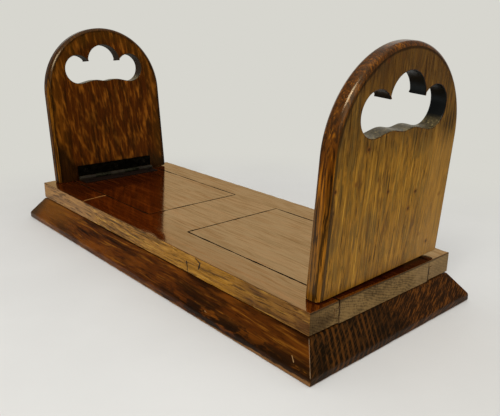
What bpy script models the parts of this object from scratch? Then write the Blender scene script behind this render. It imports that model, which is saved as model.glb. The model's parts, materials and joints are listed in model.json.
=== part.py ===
"""Oak book slide: a bevelled plinth, a top board with two sliding tongues, and two hinged arched ends.

Units are metres. +X runs along the board, +Y away from the front, +Z up. The origin is at the middle
of the plinth's underside. Each side is modelled in a frame whose +X points outwards, and the left
frame is the right one turned half a turn about Z.
"""

import math

import bmesh
import bpy
from mathutils import Matrix, Vector

# Plinth
PLINTH_THICKNESS = 0.0212
PLINTH_LIP = 0.0055
PLINTH_SIDE_SPLAY = 0.0115
PLINTH_END_SPLAY = 0.0128
PLINTH_ARRIS = 0.0009

# Top board
BOARD_LENGTH = 0.360
BOARD_WIDTH = 0.1436
BOARD_THICKNESS = 0.0152
BOARD_ARRIS = 0.0007
BRIDGE_LENGTH = 0.055

# Tongues, their side ridges and their stop pegs
TONGUE_WIDTH = 0.0925
RIDGE_THICKNESS = 0.005
RIDGE_DEPTH = 0.004
SLIDE_TRAVEL = 0.095
PEG_RADIUS = 0.004
PEG_SETBACK = 0.015
PEG_IN_TONGUE = 0.008
PEG_IN_PLINTH = 0.008

# Ends
END_THICKNESS = 0.0115
END_WIDTH = 0.1229
END_HEIGHT = 0.1459
END_TAPER = 0.00065
END_SETBACK = 0.0042
END_ARRIS = 0.0029
LEFT_RAKE = math.radians(5.3)
RIGHT_RAKE = math.radians(3.7)
LEFT_END_SHIFT = 0.0011
LEFT_FOOT_RISE = 0.0008
RIGHT_FOOT_RISE = 0.0034
FOOT_ALLOWANCE = 0.005

# Hand-hole of an end
HOLE_WIDTH = 0.0820
HOLE_LOBE_RADIUS = 0.0133
HOLE_LOBE_DROP = 0.0386
HOLE_CROWN_RISE = 0.0226
HOLE_CREST_RISE = 0.0027
HOLE_DIP_RISE = 0.0014
CREST_OUT_SHARE = 0.38
CUSP_RISE_SHARE = 0.55

# Hinges
HINGE_MARGIN = 0.00525
LEAF_WIDTH = 0.0122
LEAF_THICKNESS = 0.0012
BARREL_RADIUS = 0.0022
PIN_RADIUS = 0.0011
PIN_CLEARANCE = 0.00012
PIN_STAND_OUT = 0.0004
KNUCKLE_GAP = 0.0003
KNUCKLES = 5

# Screws: radius of head, radius of shank, length
HINGE_SCREW_HEAD = 0.0023
HINGE_SCREW_SHANK = 0.0011
HINGE_SCREW_LENGTH = 0.008
HINGE_SCREW_SINK = 0.0001
HINGE_SCREWS = 3
HINGE_SCREW_SPREAD_SHARE = 0.40
PLINTH_SCREW_HEAD = 0.0038
PLINTH_SCREW_SHANK = 0.0018
PLINTH_SCREW_BITE = 0.010
PLINTH_SCREW_INSET = 0.030
SLOT_WIDTH_SHARE = 0.3
SLOT_DEPTH_SHARE = 0.28
SCREW_TIP_SHARE = 1.6
SLOT_TURN = math.radians(37)

# Gaps and overruns
SEAT_GAP = 0.0003
JOINT_GAP = 0.0004
FIT_GAP = 0.0002
OVERRUN = 0.002
WELD_DISTANCE = 0.000001

# Steps of the round stretches
ARCH_STEPS = 28
LOBE_STEPS = 6
CREST_STEPS = 4
ARRIS_STEPS = 3
BARREL_SIDES = 24
SCREW_SIDES = 12
PEG_SIDES = 20
SLOT_STEPS = 8
ARRIS_ANGLE = math.radians(40)

# Places that follow from the sizes
BOARD_BOTTOM = PLINTH_THICKNESS + SEAT_GAP
BOARD_TOP = BOARD_BOTTOM + BOARD_THICKNESS
HALF_BOARD = BOARD_LENGTH / 2
BARREL_OFFSET = BARREL_RADIUS + SEAT_GAP
ARCH_RADIUS = END_WIDTH / 2 - END_TAPER
PIVOT_X = HALF_BOARD - END_SETBACK - END_THICKNESS - BARREL_OFFSET
PIVOT_Z = BOARD_TOP + BARREL_OFFSET
HINGE_LENGTH = TONGUE_WIDTH - 2 * HINGE_MARGIN
TONGUE_START = BRIDGE_LENGTH / 2 + JOINT_GAP
PEG_X = TONGUE_START + PEG_SETBACK

PARTS = "book_slide"
CUTTERS = "cutters"

# Finishes: colour, roughness, metallic
FINISHES = {
    "plinth_oak": ((0.115, 0.046, 0.022, 1), 0.35, 0),
    "board_oak": ((0.300, 0.170, 0.080, 1), 0.30, 0),
    "end_oak": ((0.180, 0.085, 0.030, 1), 0.30, 0),
    "hinge_bronze": ((0.030, 0.026, 0.020, 1), 0.40, 1),
    "pin_steel": ((0.180, 0.170, 0.150, 1), 0.35, 1),
    "screw_steel": ((0.080, 0.070, 0.055, 1), 0.40, 1),
    "peg_beech": ((0.450, 0.300, 0.160, 1), 0.60, 0),
}

# How a flat outline stands: its two directions, then the way that it is drawn out
PLANES = {
    "XY": Matrix.Identity(4),
    "XZ": Matrix.Rotation(math.radians(90), 4, "X"),
    "YZ": Matrix(((0, 0, 1), (1, 0, 0), (0, 1, 0))).to_4x4(),
}


def clear_scene():
    """Remove the objects of the start file."""
    for old in list(bpy.data.objects):
        bpy.data.objects.remove(old, do_unlink=True)


def collection(name):
    """A collection of the scene, made when it is first asked for."""
    found = bpy.data.collections.get(name)
    if found is None:
        found = bpy.data.collections.new(name)
        bpy.context.scene.collection.children.link(found)
    return found


def finish(name):
    """The material of that name from FINISHES."""
    made = bpy.data.materials.get(name)
    if made is None:
        made = bpy.data.materials.new(name)
        made.use_nodes = True
        shader = made.node_tree.nodes["Principled BSDF"]
        colour, roughness, metallic = FINISHES[name]
        shader.inputs["Base Color"].default_value = colour
        shader.inputs["Roughness"].default_value = roughness
        shader.inputs["Metallic"].default_value = metallic
    return made


def add_piece(name, mesh, look, parent=None, place=(0, 0, 0), turn=(0, 0, 0)):
    """Put a mesh into the model as a named piece with a finish."""
    piece = bpy.data.objects.new(name, mesh)
    collection(PARTS).objects.link(piece)
    piece.rotation_mode = "ZYX"
    piece.parent = parent
    piece.location = place
    piece.rotation_euler = turn
    if not mesh.materials:
        mesh.materials.append(finish(look))
    return piece


def add_cutter(name, mesh, parent=None, place=(0, 0, 0), turn=(0, 0, 0)):
    """Put a mesh among the cutters, which are no part of the model."""
    cutter = bpy.data.objects.new(name, mesh)
    collection(CUTTERS).objects.link(cutter)
    cutter.rotation_mode = "ZYX"
    cutter.parent = parent
    cutter.location = place
    cutter.rotation_euler = turn
    cutter.hide_render = True
    cutter.display_type = "WIRE"
    return cutter


def add_frame(name, parent=None, place=(0, 0, 0), turn=(0, 0, 0)):
    """An empty that carries other pieces."""
    empty = bpy.data.objects.new(name, None)
    collection(PARTS).objects.link(empty)
    empty.parent = parent
    empty.location = place
    empty.rotation_euler = turn
    return empty


def cut(piece, cutter):
    """Take the cutter's shape out of the piece."""
    modifier = piece.modifiers.new("cut_" + cutter.name, "BOOLEAN")
    modifier.operation = "DIFFERENCE"
    modifier.solver = "EXACT"
    modifier.object = cutter


def round_arrises(piece, width, segments):
    """Round the sharp edges that the piece has so far."""
    modifier = piece.modifiers.new("arrises", "BEVEL")
    modifier.width = width
    modifier.segments = segments
    modifier.limit_method = "ANGLE"
    modifier.angle_limit = ARRIS_ANGLE


def baked(source):
    """A new mesh of an object with its modifiers, and the object removed."""
    bpy.context.view_layer.update()
    shown = source.evaluated_get(bpy.context.evaluated_depsgraph_get())
    mesh = bpy.data.meshes.new_from_object(shown)
    mesh.materials.clear()
    bpy.data.objects.remove(source, do_unlink=True)
    return mesh


def block_mesh(name, low, high):
    """A block between its lowest and its highest corner."""
    low, high = Vector(low), Vector(high)
    shape = bmesh.new()
    bmesh.ops.create_cube(shape, size=1)
    bmesh.ops.scale(shape, vec=high - low, verts=shape.verts)
    bmesh.ops.translate(shape, vec=(high + low) / 2, verts=shape.verts)
    mesh = bpy.data.meshes.new(name)
    shape.to_mesh(mesh)
    shape.free()
    return mesh


def rod_mesh(name, radius, length, sides):
    """A round rod about Z, with its middle at the origin."""
    shape = bmesh.new()
    bmesh.ops.create_cone(shape, cap_ends=True, segments=sides, radius1=radius, radius2=radius, depth=length)
    mesh = bpy.data.meshes.new(name)
    shape.to_mesh(mesh)
    shape.free()
    shade_round(mesh)
    return mesh


def is_level(face):
    """True for a face whose corners all lie at one height."""
    heights = [corner.co.z for corner in face.verts]
    return max(heights) - min(heights) < WELD_DISTANCE


def outline_mesh(name, outline, plane, low, high):
    """A flat outline in the given plane, drawn out from low to high along the plane's normal."""
    flat = bpy.data.curves.new(name, "CURVE")
    flat.dimensions = "2D"
    flat.fill_mode = "BOTH"
    flat.extrude = (high - low) / 2
    spline = flat.splines.new("POLY")
    spline.points.add(len(outline) - 1)
    for point, (across, up) in zip(spline.points, outline):
        point.co = (across, up, 0, 1)
    spline.use_cyclic_u = True
    drawn = bpy.data.objects.new(name, flat)
    collection(CUTTERS).objects.link(drawn)
    mesh = baked(drawn)
    bpy.data.curves.remove(flat)
    shape = bmesh.new()
    shape.from_mesh(mesh)
    bmesh.ops.remove_doubles(shape, verts=shape.verts, dist=WELD_DISTANCE)
    caps = [face for face in shape.faces if is_level(face)]
    bmesh.ops.dissolve_faces(shape, faces=caps)
    bmesh.ops.transform(shape, matrix=PLANES[plane], verts=shape.verts)
    drawn_way = PLANES[plane].to_3x3() @ Vector((0, 0, 1))
    middle = (high + low) / 2
    along = Vector([abs(part) for part in drawn_way])
    bmesh.ops.translate(shape, vec=along * middle, verts=shape.verts)
    bmesh.ops.recalc_face_normals(shape, faces=shape.faces)
    shape.to_mesh(mesh)
    shape.free()
    return mesh


def turned_mesh(name, profile, sides):
    """A profile of (radius, height) points, top to bottom, turned about Z."""
    mesh = bpy.data.meshes.new(name)
    points = [(radius, 0, height) for radius, height in profile]
    edges = [(i, i + 1) for i in range(len(points) - 1)]
    mesh.from_pydata(points, edges, [])
    turned = bpy.data.objects.new(name, mesh)
    collection(CUTTERS).objects.link(turned)
    lathe = turned.modifiers.new("lathe", "SCREW")
    lathe.steps = sides
    lathe.render_steps = sides
    lathe.use_merge_vertices = True
    lathe.merge_threshold = WELD_DISTANCE
    return baked(turned)


def shade_round(mesh):
    """Smooth shading that keeps the sharp edges."""
    mesh.shade_smooth()
    mesh.set_sharp_from_angle(angle=ARRIS_ANGLE)


def rod_along_y():
    """The turn that lays a rod along Y."""
    return (math.radians(90), 0, 0)


def arc(centre, radius, start, stop, steps):
    """Points on an arc, from one angle to another."""
    turns = [start + (stop - start) * i / steps for i in range(steps + 1)]
    return [(centre[0] + radius * math.cos(t), centre[1] + radius * math.sin(t)) for t in turns]


def eased(start, stop, steps):
    """Points from start to stop that leave and arrive level, without the first."""
    points = []
    for i in range(1, steps + 1):
        lift = (1 - math.cos(math.pi * i / steps)) / 2
        across = start[0] + (stop[0] - start[0]) * i / steps
        points.append((across, start[1] + (stop[1] - start[1]) * lift))
    return points


def end_outline():
    """The arched end: a foot, two sides that lean in a little, and a round arch that they meet smoothly."""
    foot = -BARREL_OFFSET - FOOT_ALLOWANCE
    spring = END_HEIGHT - ARCH_RADIUS - BARREL_OFFSET
    half = END_WIDTH / 2
    reach = math.hypot(half, spring - foot)
    start = math.acos(min(ARCH_RADIUS / reach, 1)) - math.atan2(spring - foot, half)
    arch = arc((0, spring), ARCH_RADIUS, start, math.pi - start, ARCH_STEPS)
    return [(-half, foot), (half, foot)] + arch


def hole_outline():
    """The hand-hole: two round lobes, a taller crown between them, and a bottom with two low crests."""
    lobe_out = HOLE_WIDTH / 2 - HOLE_LOBE_RADIUS
    lobe_up = END_HEIGHT - HOLE_LOBE_DROP - BARREL_OFFSET
    bottom = lobe_up - HOLE_LOBE_RADIUS
    dip = (0, bottom + HOLE_DIP_RISE)
    crest = (lobe_out * CREST_OUT_SHARE, bottom + HOLE_CREST_RISE)
    cusp_angle = math.pi - math.asin(CUSP_RISE_SHARE)
    low = eased(dip, crest, CREST_STEPS) + eased(crest, (lobe_out, bottom), CREST_STEPS)
    lobe = arc((lobe_out, lobe_up), HOLE_LOBE_RADIUS, math.radians(-90), cusp_angle, 3 * LOBE_STEPS)
    cusp = lobe[-1]
    crown_rise = lobe_up + HOLE_CROWN_RISE - cusp[1]
    crown = [
        (cusp[0] * math.cos(t), cusp[1] + crown_rise * math.sin(t))
        for t in (math.radians(90) * i / LOBE_STEPS for i in range(1, LOBE_STEPS + 1))
    ]
    right = low + lobe[1:] + crown
    left = [(-across, up) for across, up in reversed(right[:-1])]
    return [dip] + right + left


def tongue_outline():
    """The tongue's section: a flat board with a ridge along each side."""
    half = TONGUE_WIDTH / 2
    out = half + RIDGE_DEPTH
    ridge_low = BOARD_BOTTOM + (BOARD_THICKNESS - RIDGE_THICKNESS) / 2
    ridge_high = ridge_low + RIDGE_THICKNESS
    right = [
        (half, BOARD_BOTTOM),
        (half, ridge_low),
        (out, ridge_low),
        (out, ridge_high),
        (half, ridge_high),
        (half, BOARD_TOP),
    ]
    left = [(-across, up) for across, up in reversed(right)]
    return right + left


def slot_outline():
    """The slot in which a stop peg runs, as wide as the peg with its gap."""
    radius = PEG_RADIUS + JOINT_GAP
    outer = arc((PEG_X + SLIDE_TRAVEL, 0), radius, math.radians(-90), math.radians(90), SLOT_STEPS)
    inner = arc((PEG_X, 0), radius, math.radians(90), math.radians(270), SLOT_STEPS)
    return outer + inner


def leaf_section():
    """A hinge leaf's section as (distance along the leaf, distance towards the wood) from the pin."""
    face = BARREL_RADIUS - LEAF_THICKNESS
    meet = math.asin(face / BARREL_RADIUS)
    roll = arc((0, 0), BARREL_RADIUS, math.radians(90), math.radians(360) + meet, BARREL_SIDES)
    return [(LEAF_WIDTH, BARREL_RADIUS)] + roll + [(LEAF_WIDTH, face)]


def screw_profile(head, shank, length, gap=0, above=0):
    """A countersunk screw, or with a gap all round it the hole that holds it."""
    sink = head - shank
    tip = shank * SCREW_TIP_SHARE
    profile = [(0, above)]
    if above:
        profile.append((head + gap, above))
    profile += [
        (head + gap, 0),
        (shank + gap, -sink),
        (shank + gap, tip - length),
        (0, -length - gap),
    ]
    return profile


def screw_mesh(name, head, shank, length):
    """A countersunk screw with a slot in its head, pointing down from the origin."""
    plain = turned_mesh(name, screw_profile(head, shank, length), SCREW_SIDES)
    body = bpy.data.objects.new(name, plain)
    collection(CUTTERS).objects.link(body)
    half_slot = head * SLOT_WIDTH_SHARE / 2
    reach = head + OVERRUN
    depth = head * SLOT_DEPTH_SHARE
    slot = add_cutter(
        name + "_slot",
        block_mesh(name + "_slot", (-reach, -half_slot, -depth), (reach, half_slot, OVERRUN)),
    )
    cut(body, slot)
    mesh = baked(body)
    bpy.data.objects.remove(slot, do_unlink=True)
    shade_round(mesh)
    return mesh


def screw_hole_mesh(name, head, shank, length):
    """The hole for a screw, open above its head."""
    return turned_mesh(name, screw_profile(head, shank, length, FIT_GAP, OVERRUN), SCREW_SIDES)


def knuckle_spans():
    """Where each knuckle of a hinge starts and stops along the pin."""
    pitch = HINGE_LENGTH / KNUCKLES
    starts = [-HINGE_LENGTH / 2 + pitch * i for i in range(KNUCKLES)]
    return [(start, start + pitch) for start in starts]


def hinge_screw_places():
    """The screws' places along a leaf."""
    reach = HINGE_LENGTH * HINGE_SCREW_SPREAD_SHARE
    return [2 * reach * i / (HINGE_SCREWS - 1) - reach for i in range(HINGE_SCREWS)]


def make_plinth():
    """The lower board: an upright lip with a splay above it on all four sides."""
    half_length = HALF_BOARD + PLINTH_END_SPLAY
    half_width = BOARD_WIDTH / 2 + PLINTH_SIDE_SPLAY
    mesh = block_mesh("plinth", (-half_length, -half_width, 0), (half_length, half_width, PLINTH_LIP))
    shape = bmesh.new()
    shape.from_mesh(mesh)
    top = [face for face in shape.faces if is_level(face) and face.calc_center_median().z > PLINTH_LIP / 2]
    raised = bmesh.ops.extrude_face_region(shape, geom=top)["geom"]
    raised_verts = [item for item in raised if isinstance(item, bmesh.types.BMVert)]
    bmesh.ops.delete(shape, geom=top, context="FACES")
    bmesh.ops.translate(shape, vec=(0, 0, PLINTH_THICKNESS - PLINTH_LIP), verts=raised_verts)
    narrow = (HALF_BOARD / half_length, BOARD_WIDTH / 2 / half_width, 1)
    bmesh.ops.scale(shape, vec=narrow, verts=raised_verts)
    shape.to_mesh(mesh)
    shape.free()
    plinth = add_piece("plinth", mesh, "plinth_oak")
    round_arrises(plinth, PLINTH_ARRIS, ARRIS_STEPS - 1)
    return plinth


def make_top_board():
    """The upper board before its housings are cut."""
    half_width = BOARD_WIDTH / 2
    low, high = (-HALF_BOARD, -half_width, BOARD_BOTTOM), (HALF_BOARD, half_width, BOARD_TOP)
    board = add_piece("top_board", block_mesh("top_board", low, high), "board_oak")
    round_arrises(board, BOARD_ARRIS, ARRIS_STEPS - 1)
    return board


def house_tongue(side, frame, board, plinth):
    """Cut the housing, its side grooves and the stop peg's slot for one tongue."""
    half = TONGUE_WIDTH / 2 + JOINT_GAP
    start, stop = BRIDGE_LENGTH / 2, HALF_BOARD + OVERRUN
    low = (start, -half, BOARD_BOTTOM - OVERRUN)
    high = (stop, half, BOARD_TOP + OVERRUN)
    cut(board, add_cutter(side + "_housing", block_mesh(side + "_housing", low, high), frame))
    groove_half = half + RIDGE_DEPTH
    groove_low = BOARD_BOTTOM + (BOARD_THICKNESS - RIDGE_THICKNESS) / 2 - JOINT_GAP
    groove_high = groove_low + RIDGE_THICKNESS + 2 * JOINT_GAP
    low = (start, -groove_half, groove_low)
    high = (stop, groove_half, groove_high)
    cut(board, add_cutter(side + "_groove", block_mesh(side + "_groove", low, high), frame))
    floor = PLINTH_THICKNESS - PEG_IN_PLINTH - JOINT_GAP
    slot = outline_mesh(side + "_peg_slot", slot_outline(), "XY", floor, PLINTH_THICKNESS + OVERRUN)
    cut(plinth, add_cutter(side + "_peg_slot", slot, frame))


def make_tongue(side, frame):
    """One sliding tongue, with its stop peg in a blind hole underneath."""
    mesh = outline_mesh(side + "_tongue", tongue_outline(), "YZ", TONGUE_START, HALF_BOARD)
    tongue = add_piece(side + "_tongue", mesh, "board_oak", frame)
    peg_length = PEG_IN_TONGUE + BOARD_BOTTOM - PLINTH_THICKNESS + PEG_IN_PLINTH
    peg_middle = BOARD_BOTTOM + PEG_IN_TONGUE - peg_length / 2
    peg = rod_mesh(side + "_stop_peg", PEG_RADIUS, peg_length, PEG_SIDES)
    add_piece(side + "_stop_peg", peg, "peg_beech", frame, (PEG_X, 0, peg_middle))
    hole_top = BOARD_BOTTOM + PEG_IN_TONGUE + FIT_GAP
    hole_length = PEG_IN_TONGUE + FIT_GAP + OVERRUN
    hole = rod_mesh(side + "_peg_hole", PEG_RADIUS + FIT_GAP, hole_length, PEG_SIDES)
    place = (PEG_X, 0, hole_top - hole_length / 2)
    cut(tongue, add_cutter(side + "_peg_hole", hole, frame, place))
    return tongue


def make_end(side, pivot, foot_rise):
    """One arched end with its hand-hole, standing on a foot that is planed level with the board."""
    outer = BARREL_OFFSET + END_THICKNESS
    mesh = outline_mesh(side + "_end", end_outline(), "YZ", BARREL_OFFSET, outer)
    shade_round(mesh)
    end = add_piece(side + "_end", mesh, "end_oak", pivot)
    round_arrises(end, END_ARRIS, ARRIS_STEPS)
    low, high = BARREL_OFFSET - OVERRUN, outer + OVERRUN
    hole = outline_mesh(side + "_hand_hole", hole_outline(), "YZ", low, high)
    cut(end, add_cutter(side + "_hand_hole", hole, pivot))
    reach = HALF_BOARD + END_THICKNESS
    low = (-reach, -OVERRUN, -FOOT_ALLOWANCE - END_THICKNESS)
    high = (reach, END_WIDTH + OVERRUN, 0)
    front = (0, -END_WIDTH / 2, BOARD_TOP + SEAT_GAP)
    slope = (math.atan2(foot_rise, END_WIDTH), 0, 0)
    name = side + "_foot_level"
    level = add_cutter(name, block_mesh(name, low, high), None, front, slope)
    cut(end, level)
    return end


def make_leaf(name, look, parent, along_way, wood_way, kept):
    """One hinge leaf: rolled round the pin, with notches where the other leaf's knuckles go."""
    section = [
        tuple(along * a + wood * w for a, w in zip(along_way, wood_way)) for along, wood in leaf_section()
    ]
    mesh = outline_mesh(name, section, "XZ", -HINGE_LENGTH / 2, HINGE_LENGTH / 2)
    shade_round(mesh)
    leaf = add_piece(name, mesh, look, parent)
    clear = BARREL_RADIUS + KNUCKLE_GAP
    far = BARREL_RADIUS + OVERRUN
    for number, (start, stop) in enumerate(knuckle_spans()):
        if number % 2 == kept:
            continue
        first = number == 0
        last = number == KNUCKLES - 1
        low_y = start - (OVERRUN if first else KNUCKLE_GAP / 2)
        high_y = stop + (OVERRUN if last else KNUCKLE_GAP / 2)
        reach = (-far, clear)
        spans = [sorted(way * r for r in reach) if way else (-far, far) for way in along_way]
        low = (spans[0][0], low_y, spans[1][0])
        high = (spans[0][1], high_y, spans[1][1])
        notch = block_mesh(name + "_notch", low, high)
        cut(leaf, add_cutter(name + "_notch_" + str(number + 1), notch, parent))
    bore = rod_mesh(name + "_bore", PIN_RADIUS + PIN_CLEARANCE, HINGE_LENGTH + 2 * OVERRUN, BARREL_SIDES)
    cut(leaf, add_cutter(name + "_bore", bore, parent, (0, 0, 0), rod_along_y()))
    return leaf


def screw_leaf(leaf, wood, screw, hole, parent, place, turn):
    """Screw a leaf to the wood behind it."""
    for number, along in enumerate(hinge_screw_places(), 1):
        spot = (place[0], along, place[1])
        name = leaf.name + "_screw_" + str(number)
        turned = (turn[0], turn[1], SLOT_TURN * number)
        add_piece(name, screw, "screw_steel", parent, spot, turned)
        cutter = add_cutter(name + "_hole", hole, parent, spot, turned)
        cut(leaf, cutter)
        cut(wood, cutter)


def make_hinge(side, seat, pivot, tongue, end, screw, hole):
    """One hinge: a leaf on the tongue, a leaf on the end, a pin and six screws."""
    base_leaf = make_leaf(side + "_base_leaf", "hinge_bronze", seat, (-1, 0), (0, -1), 0)
    end_leaf = make_leaf(side + "_end_leaf", "hinge_bronze", pivot, (0, 1), (1, 0), 1)
    pin_length = HINGE_LENGTH + 2 * PIN_STAND_OUT
    pin = rod_mesh(side + "_hinge_pin", PIN_RADIUS, pin_length, BARREL_SIDES)
    add_piece(side + "_hinge_pin", pin, "pin_steel", seat, (0, 0, 0), rod_along_y())
    middle = (LEAF_WIDTH + BARREL_RADIUS + KNUCKLE_GAP) / 2
    head = BARREL_RADIUS - LEAF_THICKNESS + HINGE_SCREW_SINK
    screw_leaf(base_leaf, tongue, screw, hole, seat, (-middle, -head), (0, 0))
    screw_leaf(end_leaf, end, screw, hole, pivot, (head, middle), (0, math.radians(-90)))


def make_plinth_screws(plinth, board):
    """Six screws from below, which hold the plinth to the top board."""
    length = PLINTH_THICKNESS + SEAT_GAP + PLINTH_SCREW_BITE
    screw = screw_mesh("plinth_screw", PLINTH_SCREW_HEAD, PLINTH_SCREW_SHANK, length)
    hole = screw_hole_mesh("plinth_screw_hole", PLINTH_SCREW_HEAD, PLINTH_SCREW_SHANK, length)
    rail_inner = TONGUE_WIDTH / 2 + 2 * JOINT_GAP + RIDGE_DEPTH
    across = (rail_inner + BOARD_WIDTH / 2) / 2
    out = HALF_BOARD - PLINTH_SCREW_INSET
    places = [(x, y) for y in (-across, across) for x in (-out, 0, out)]
    for number, (x, y) in enumerate(places, 1):
        name = "plinth_screw_" + str(number)
        turn = (math.radians(180), 0, SLOT_TURN * number)
        add_piece(name, screw, "screw_steel", None, (x, y, SEAT_GAP), turn)
        cutter = add_cutter(name + "_hole", hole, None, (x, y, SEAT_GAP), turn)
        cut(plinth, cutter)
        cut(board, cutter)


def main():
    clear_scene()
    plinth = make_plinth()
    board = make_top_board()
    screw = screw_mesh("hinge_screw", HINGE_SCREW_HEAD, HINGE_SCREW_SHANK, HINGE_SCREW_LENGTH)
    hole = screw_hole_mesh("hinge_screw_hole", HINGE_SCREW_HEAD, HINGE_SCREW_SHANK, HINGE_SCREW_LENGTH)
    sides = (
        ("left", math.radians(180), LEFT_END_SHIFT, LEFT_RAKE, LEFT_FOOT_RISE),
        ("right", 0, 0, RIGHT_RAKE, RIGHT_FOOT_RISE),
    )
    for side, facing, shift, rake, foot_rise in sides:
        frame = add_frame(side + "_slide", None, (0, 0, 0), (0, 0, facing))
        seat = add_frame(side + "_hinge_seat", frame, (PIVOT_X, shift, PIVOT_Z))
        pivot = add_frame(side + "_fold", seat, (0, 0, 0), (0, rake, 0))
        house_tongue(side, frame, board, plinth)
        tongue = make_tongue(side, frame)
        end = make_end(side, pivot, foot_rise)
        make_hinge(side, seat, pivot, tongue, end, screw, hole)
    make_plinth_screws(plinth, board)


main()
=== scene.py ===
# %% [markdown]
# # An oak book slide, dressed step by step
#
# A book slide holds a row of books on a desk. Its two arched ends stand on flush tongues that
# slide out of the top board, and they fold down on hinges when there is nothing to hold.
# The measured model gives every piece its place and its way of moving. Here each piece is
# modelled again with the soft arrises, the fine joints and the polish of the real one, and
# then it is told which part of the measured model it moves with.

import json
import math

import bmesh
import bpy
from mathutils import Matrix, Vector


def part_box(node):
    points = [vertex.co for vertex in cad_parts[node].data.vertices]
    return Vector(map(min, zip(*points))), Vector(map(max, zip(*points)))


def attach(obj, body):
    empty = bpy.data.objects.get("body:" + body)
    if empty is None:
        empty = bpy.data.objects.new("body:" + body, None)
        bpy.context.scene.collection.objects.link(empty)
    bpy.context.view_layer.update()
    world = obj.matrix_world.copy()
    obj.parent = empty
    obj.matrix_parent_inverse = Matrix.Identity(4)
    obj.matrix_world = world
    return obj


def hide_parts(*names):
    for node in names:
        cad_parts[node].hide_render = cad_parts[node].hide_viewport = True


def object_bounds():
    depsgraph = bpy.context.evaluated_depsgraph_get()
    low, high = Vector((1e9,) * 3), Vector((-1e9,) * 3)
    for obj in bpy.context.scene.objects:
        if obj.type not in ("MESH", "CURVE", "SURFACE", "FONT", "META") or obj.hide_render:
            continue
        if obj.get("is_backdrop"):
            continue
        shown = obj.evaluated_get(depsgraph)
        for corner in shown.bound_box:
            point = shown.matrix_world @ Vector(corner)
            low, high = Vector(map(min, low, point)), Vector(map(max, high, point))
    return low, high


SIDES = ("left", "right")
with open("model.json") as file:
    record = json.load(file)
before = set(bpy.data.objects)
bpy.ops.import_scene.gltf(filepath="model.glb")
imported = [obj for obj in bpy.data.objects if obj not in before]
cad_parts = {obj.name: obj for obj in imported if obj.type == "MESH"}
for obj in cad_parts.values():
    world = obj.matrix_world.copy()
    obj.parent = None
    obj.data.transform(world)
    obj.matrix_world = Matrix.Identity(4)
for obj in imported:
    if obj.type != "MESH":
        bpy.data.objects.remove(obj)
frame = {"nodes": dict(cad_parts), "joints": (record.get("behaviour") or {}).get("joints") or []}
measured_low, measured_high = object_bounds()
print("pieces in the measured model:", len(frame["nodes"]))

# %% [markdown]
# ## The camera
#
# The picture was taken from close by, a little above the top of the ends and from the right.
# A camera could be placed by eye, but lines that should be parallel then drift apart. This one
# was worked out from the corners of the boards. The small shift is there because the picture's
# middle isn't quite where the lens pointed.

# %% Camera at the picture's viewpoint
PICTURE_WIDTH = 500
FOCAL_PIXELS = 591.72
LENS_CENTRE_OFFSET = (11.145, 4.14)
CAMERA_PLACE = Vector((0.37929, -0.29064, 0.19019))
CAMERA_YAW = math.radians(47.73)
CAMERA_PITCH = math.radians(17.87)
CAMERA_ROLL = math.radians(0.91)
SENSOR_WIDTH = 36

bpy.ops.object.camera_add()
camera = bpy.context.object
camera.name = "picture_camera"
aim = Matrix.Rotation(CAMERA_YAW, 4, "Z")
aim = aim @ Matrix.Rotation(math.radians(90) - CAMERA_PITCH, 4, "X")
aim = aim @ Matrix.Rotation(CAMERA_ROLL, 4, "Z")
camera.matrix_world = Matrix.Translation(CAMERA_PLACE) @ aim
camera.data.sensor_fit = "HORIZONTAL"
camera.data.sensor_width = SENSOR_WIDTH
camera.data.lens = FOCAL_PIXELS * SENSOR_WIDTH / PICTURE_WIDTH
camera.data.shift_x = -LENS_CENTRE_OFFSET[0] / PICTURE_WIDTH
camera.data.shift_y = LENS_CENTRE_OFFSET[1] / PICTURE_WIDTH
camera.data.clip_start = 0.01
bpy.context.scene.camera = camera
print("lens:", round(camera.data.lens, 2), "mm")

# %% [markdown]
# ## Nodes, the short way
#
# Every finish below is a node tree. Adding nodes one by one takes many lines, so one small
# helper adds a node, sets its sockets and links it, and a few others name the steps that
# come back in each finish.

# %% Helpers for node trees
def put(tree, kind, sockets, **settings):
    """Add a node, set its options, then fill each socket with a value or a link."""
    node = tree.nodes.new("ShaderNode" + kind)
    for name, value in settings.items():
        setattr(node, name, value)
    for socket, value in sockets.items():
        if isinstance(value, bpy.types.NodeSocket):
            tree.links.new(value, node.inputs[socket])
        else:
            node.inputs[socket].default_value = value
    return node


def tone(red, green, blue):
    """A colour as a screen shows it, from 0 to 255, turned into the light values that nodes use."""
    parts = [part / 255 for part in (red, green, blue)]
    return tuple([p / 12.92 if p < 0.04 else ((p + 0.055) / 1.055) ** 2.4 for p in parts] + [1])


def calc(tree, operation, first, second=0.0):
    """One step of arithmetic."""
    return put(tree, "Math", {0: first, 1: second}, operation=operation).outputs[0]


def times(tree, first, second):
    """One value times another."""
    return calc(tree, "MULTIPLY", first, second)


def axes(tree, place):
    """The X, Y and Z of a place, by name."""
    return put(tree, "SeparateXYZ", {0: place}).outputs


def length_of(tree, way):
    """How long a vector is."""
    return put(tree, "VectorMath", {0: way}, operation="LENGTH").outputs["Value"]


def ease(tree, value, start, stop, low=0.0, high=1.0):
    """Go softly from low to high while the value goes from start to stop."""
    sockets = {"Value": value, "From Min": start, "From Max": stop, "To Min": low, "To Max": high}
    return put(tree, "MapRange", sockets, interpolation_type="SMOOTHSTEP").outputs[0]


def mix(tree, share, first, second, blend="MIX"):
    """Mix two colours."""
    sockets = {0: share, 6: first, 7: second}
    return put(tree, "Mix", sockets, data_type="RGBA", blend_type=blend).outputs[2]


def lay(tree, colour, other, value, start, stop, share=1.0):
    """Lay another colour over the first while the value goes from start to stop."""
    return mix(tree, ease(tree, value, start, stop, 0, share), colour, other)


def weigh(tree, *pairs):
    """Add up values, each times its own weight."""
    total = 0.0
    for value, weight in pairs:
        total = put(tree, "Math", {0: value, 1: weight, 2: total}, operation="MULTIPLY_ADD").outputs[0]
    return total


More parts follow.
